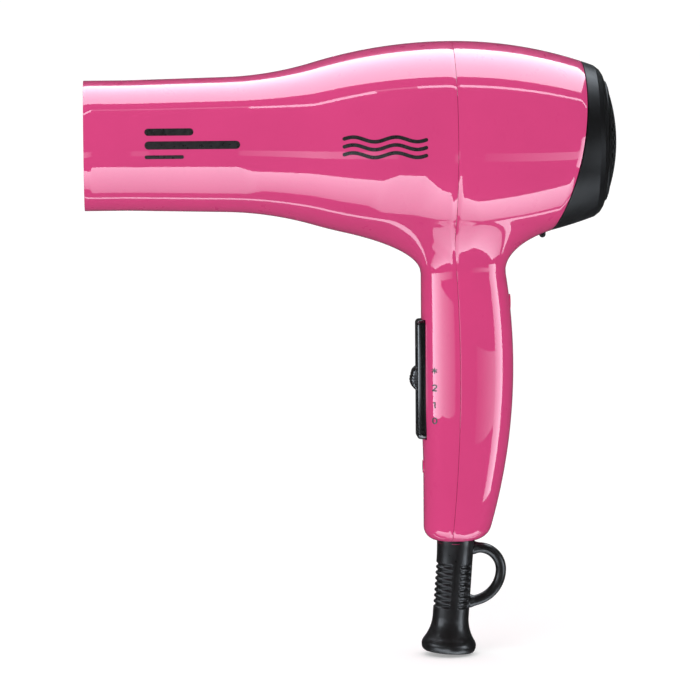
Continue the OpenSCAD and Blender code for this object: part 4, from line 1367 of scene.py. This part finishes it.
def side_panel(name, angles, heights, near, far, power):
    """An upright panel beside the handle; angles are measured from straight at the viewer."""
    x, distance = 0.158, 0.8
    ends = [(x + distance * math.sin(math.radians(a)), -distance * math.cos(math.radians(a))) for a in angles]
    edge, far_edge = ([(*end, z) for z in heights] for end in ends)
    panel(name, edge, far_edge, near, far, power)


def softbox(name, position, target, size, power, spread=180):
    """An area light that lights the object without being mirrored in it."""
    light = bpy.data.lights.new(name, "AREA")
    light.shape = "RECTANGLE"
    light.size, light.size_y = size
    light.energy = power
    light.spread = math.radians(spread)
    lamp = bpy.data.objects.new(name, light)
    lamp.location = position
    lamp.rotation_euler = (Vector(target) - Vector(position)).to_track_quat("-Z", "Y").to_euler()
    lamp.visible_camera = False
    lamp.visible_glossy = False
    bpy.context.scene.collection.objects.link(lamp)
    return lamp


LOW_STATIONS = [(-1.0, -43, -80), (-0.07, -43, -80), (-0.01, -35, -88), (0.09, -35, -88),
                (0.16, -52, -93), (0.3, -68, -98), (1.0, -58, -92)]


def studio():
    world = bpy.data.worlds.new("studio")
    bpy.context.scene.world = world
    world.use_nodes = True
    nodes, links = world.node_tree.nodes, world.node_tree.links
    back = nodes["Background"]
    back.inputs["Color"].default_value = (1, 1, 1, 1)
    rays = nodes.new("ShaderNodeLightPath")
    level = nodes.new("ShaderNodeMapRange")
    level.inputs["To Min"].default_value = 0.86
    level.inputs["To Max"].default_value = 0.06
    links.new(rays.outputs["Is Glossy Ray"], level.inputs["Value"])
    links.new(level.outputs[0], back.inputs["Strength"])
    middle = (0.12, 0, -0.05)
    softbox("soft_key", (-0.25, -1.0, 1.0), middle, (0.9, 0.7), 5.0)
    bar_panel("overhead", [(-1.0, 81, 134), (1.0, 81, 134)], 8.0, 8.0)
    bar_panel("strip_front", [(-1.0, 59, 62.5), (-0.2, 59, 62.5), (-0.005, 64, 67.5)], 9, 9, 0.6)
    bar_panel("strip_middle", [(-0.005, 66, 68), (0.1, 66, 68)], 2, 2, 0.6)
    bar_panel("strip_rear", [(0.1, 65.5, 68.5), (1.0, 65.5, 68.5)], 9, 9, 0.6)
    bar_panel("low_band", LOW_STATIONS, 9, 2.8, 0.9, 0.8)
    bar_panel("low_line", [(-1.0, -100, -104), (1.0, -100, -104)], 5, 5, 0.9)
    side_panel("right_inner", (12, 50), (-0.27, -0.14), 0.4, 3.4, 1.2)
    side_panel("right_outer", (50, 75), (-0.42, 0.04), 4.5, 11.0, 1.0)
    side_panel("left_inner", (-12, -45), (-0.22, -0.10), 0.9, 4.4, 1.2)
    side_panel("left_outer", (-45, -80), (-0.22, 0.02), 4.4, 11.0, 1.0)


def camera():
    """Long lens, a little in front of the nozzle's side and a little above the barrel."""
    lens = bpy.data.cameras.new("camera")
    lens.sensor_width = 36
    lens.lens = 218
    eye = bpy.data.objects.new("camera", lens)
    bpy.context.scene.collection.objects.link(eye)
    bpy.context.scene.camera = eye
    target = Vector((0.1097, 0, -0.0863))
    azimuth, elevation, roll = math.radians(-2.9), math.radians(5.5), math.radians(-0.45)
    back = Vector((math.sin(azimuth) * math.cos(elevation), -math.cos(azimuth) * math.cos(elevation),
                   math.sin(elevation)))
    eye.location = target + back * 1.77
    turn = (-back).to_track_quat("-Z", "Y").to_matrix().to_4x4() @ Matrix.Rotation(roll, 4, "Z")
    eye.rotation_euler = turn.to_euler()
    lens.clip_end = 50


floor_sweep()
studio()
camera()
bpy.context.scene.view_settings.view_transform = "Standard"
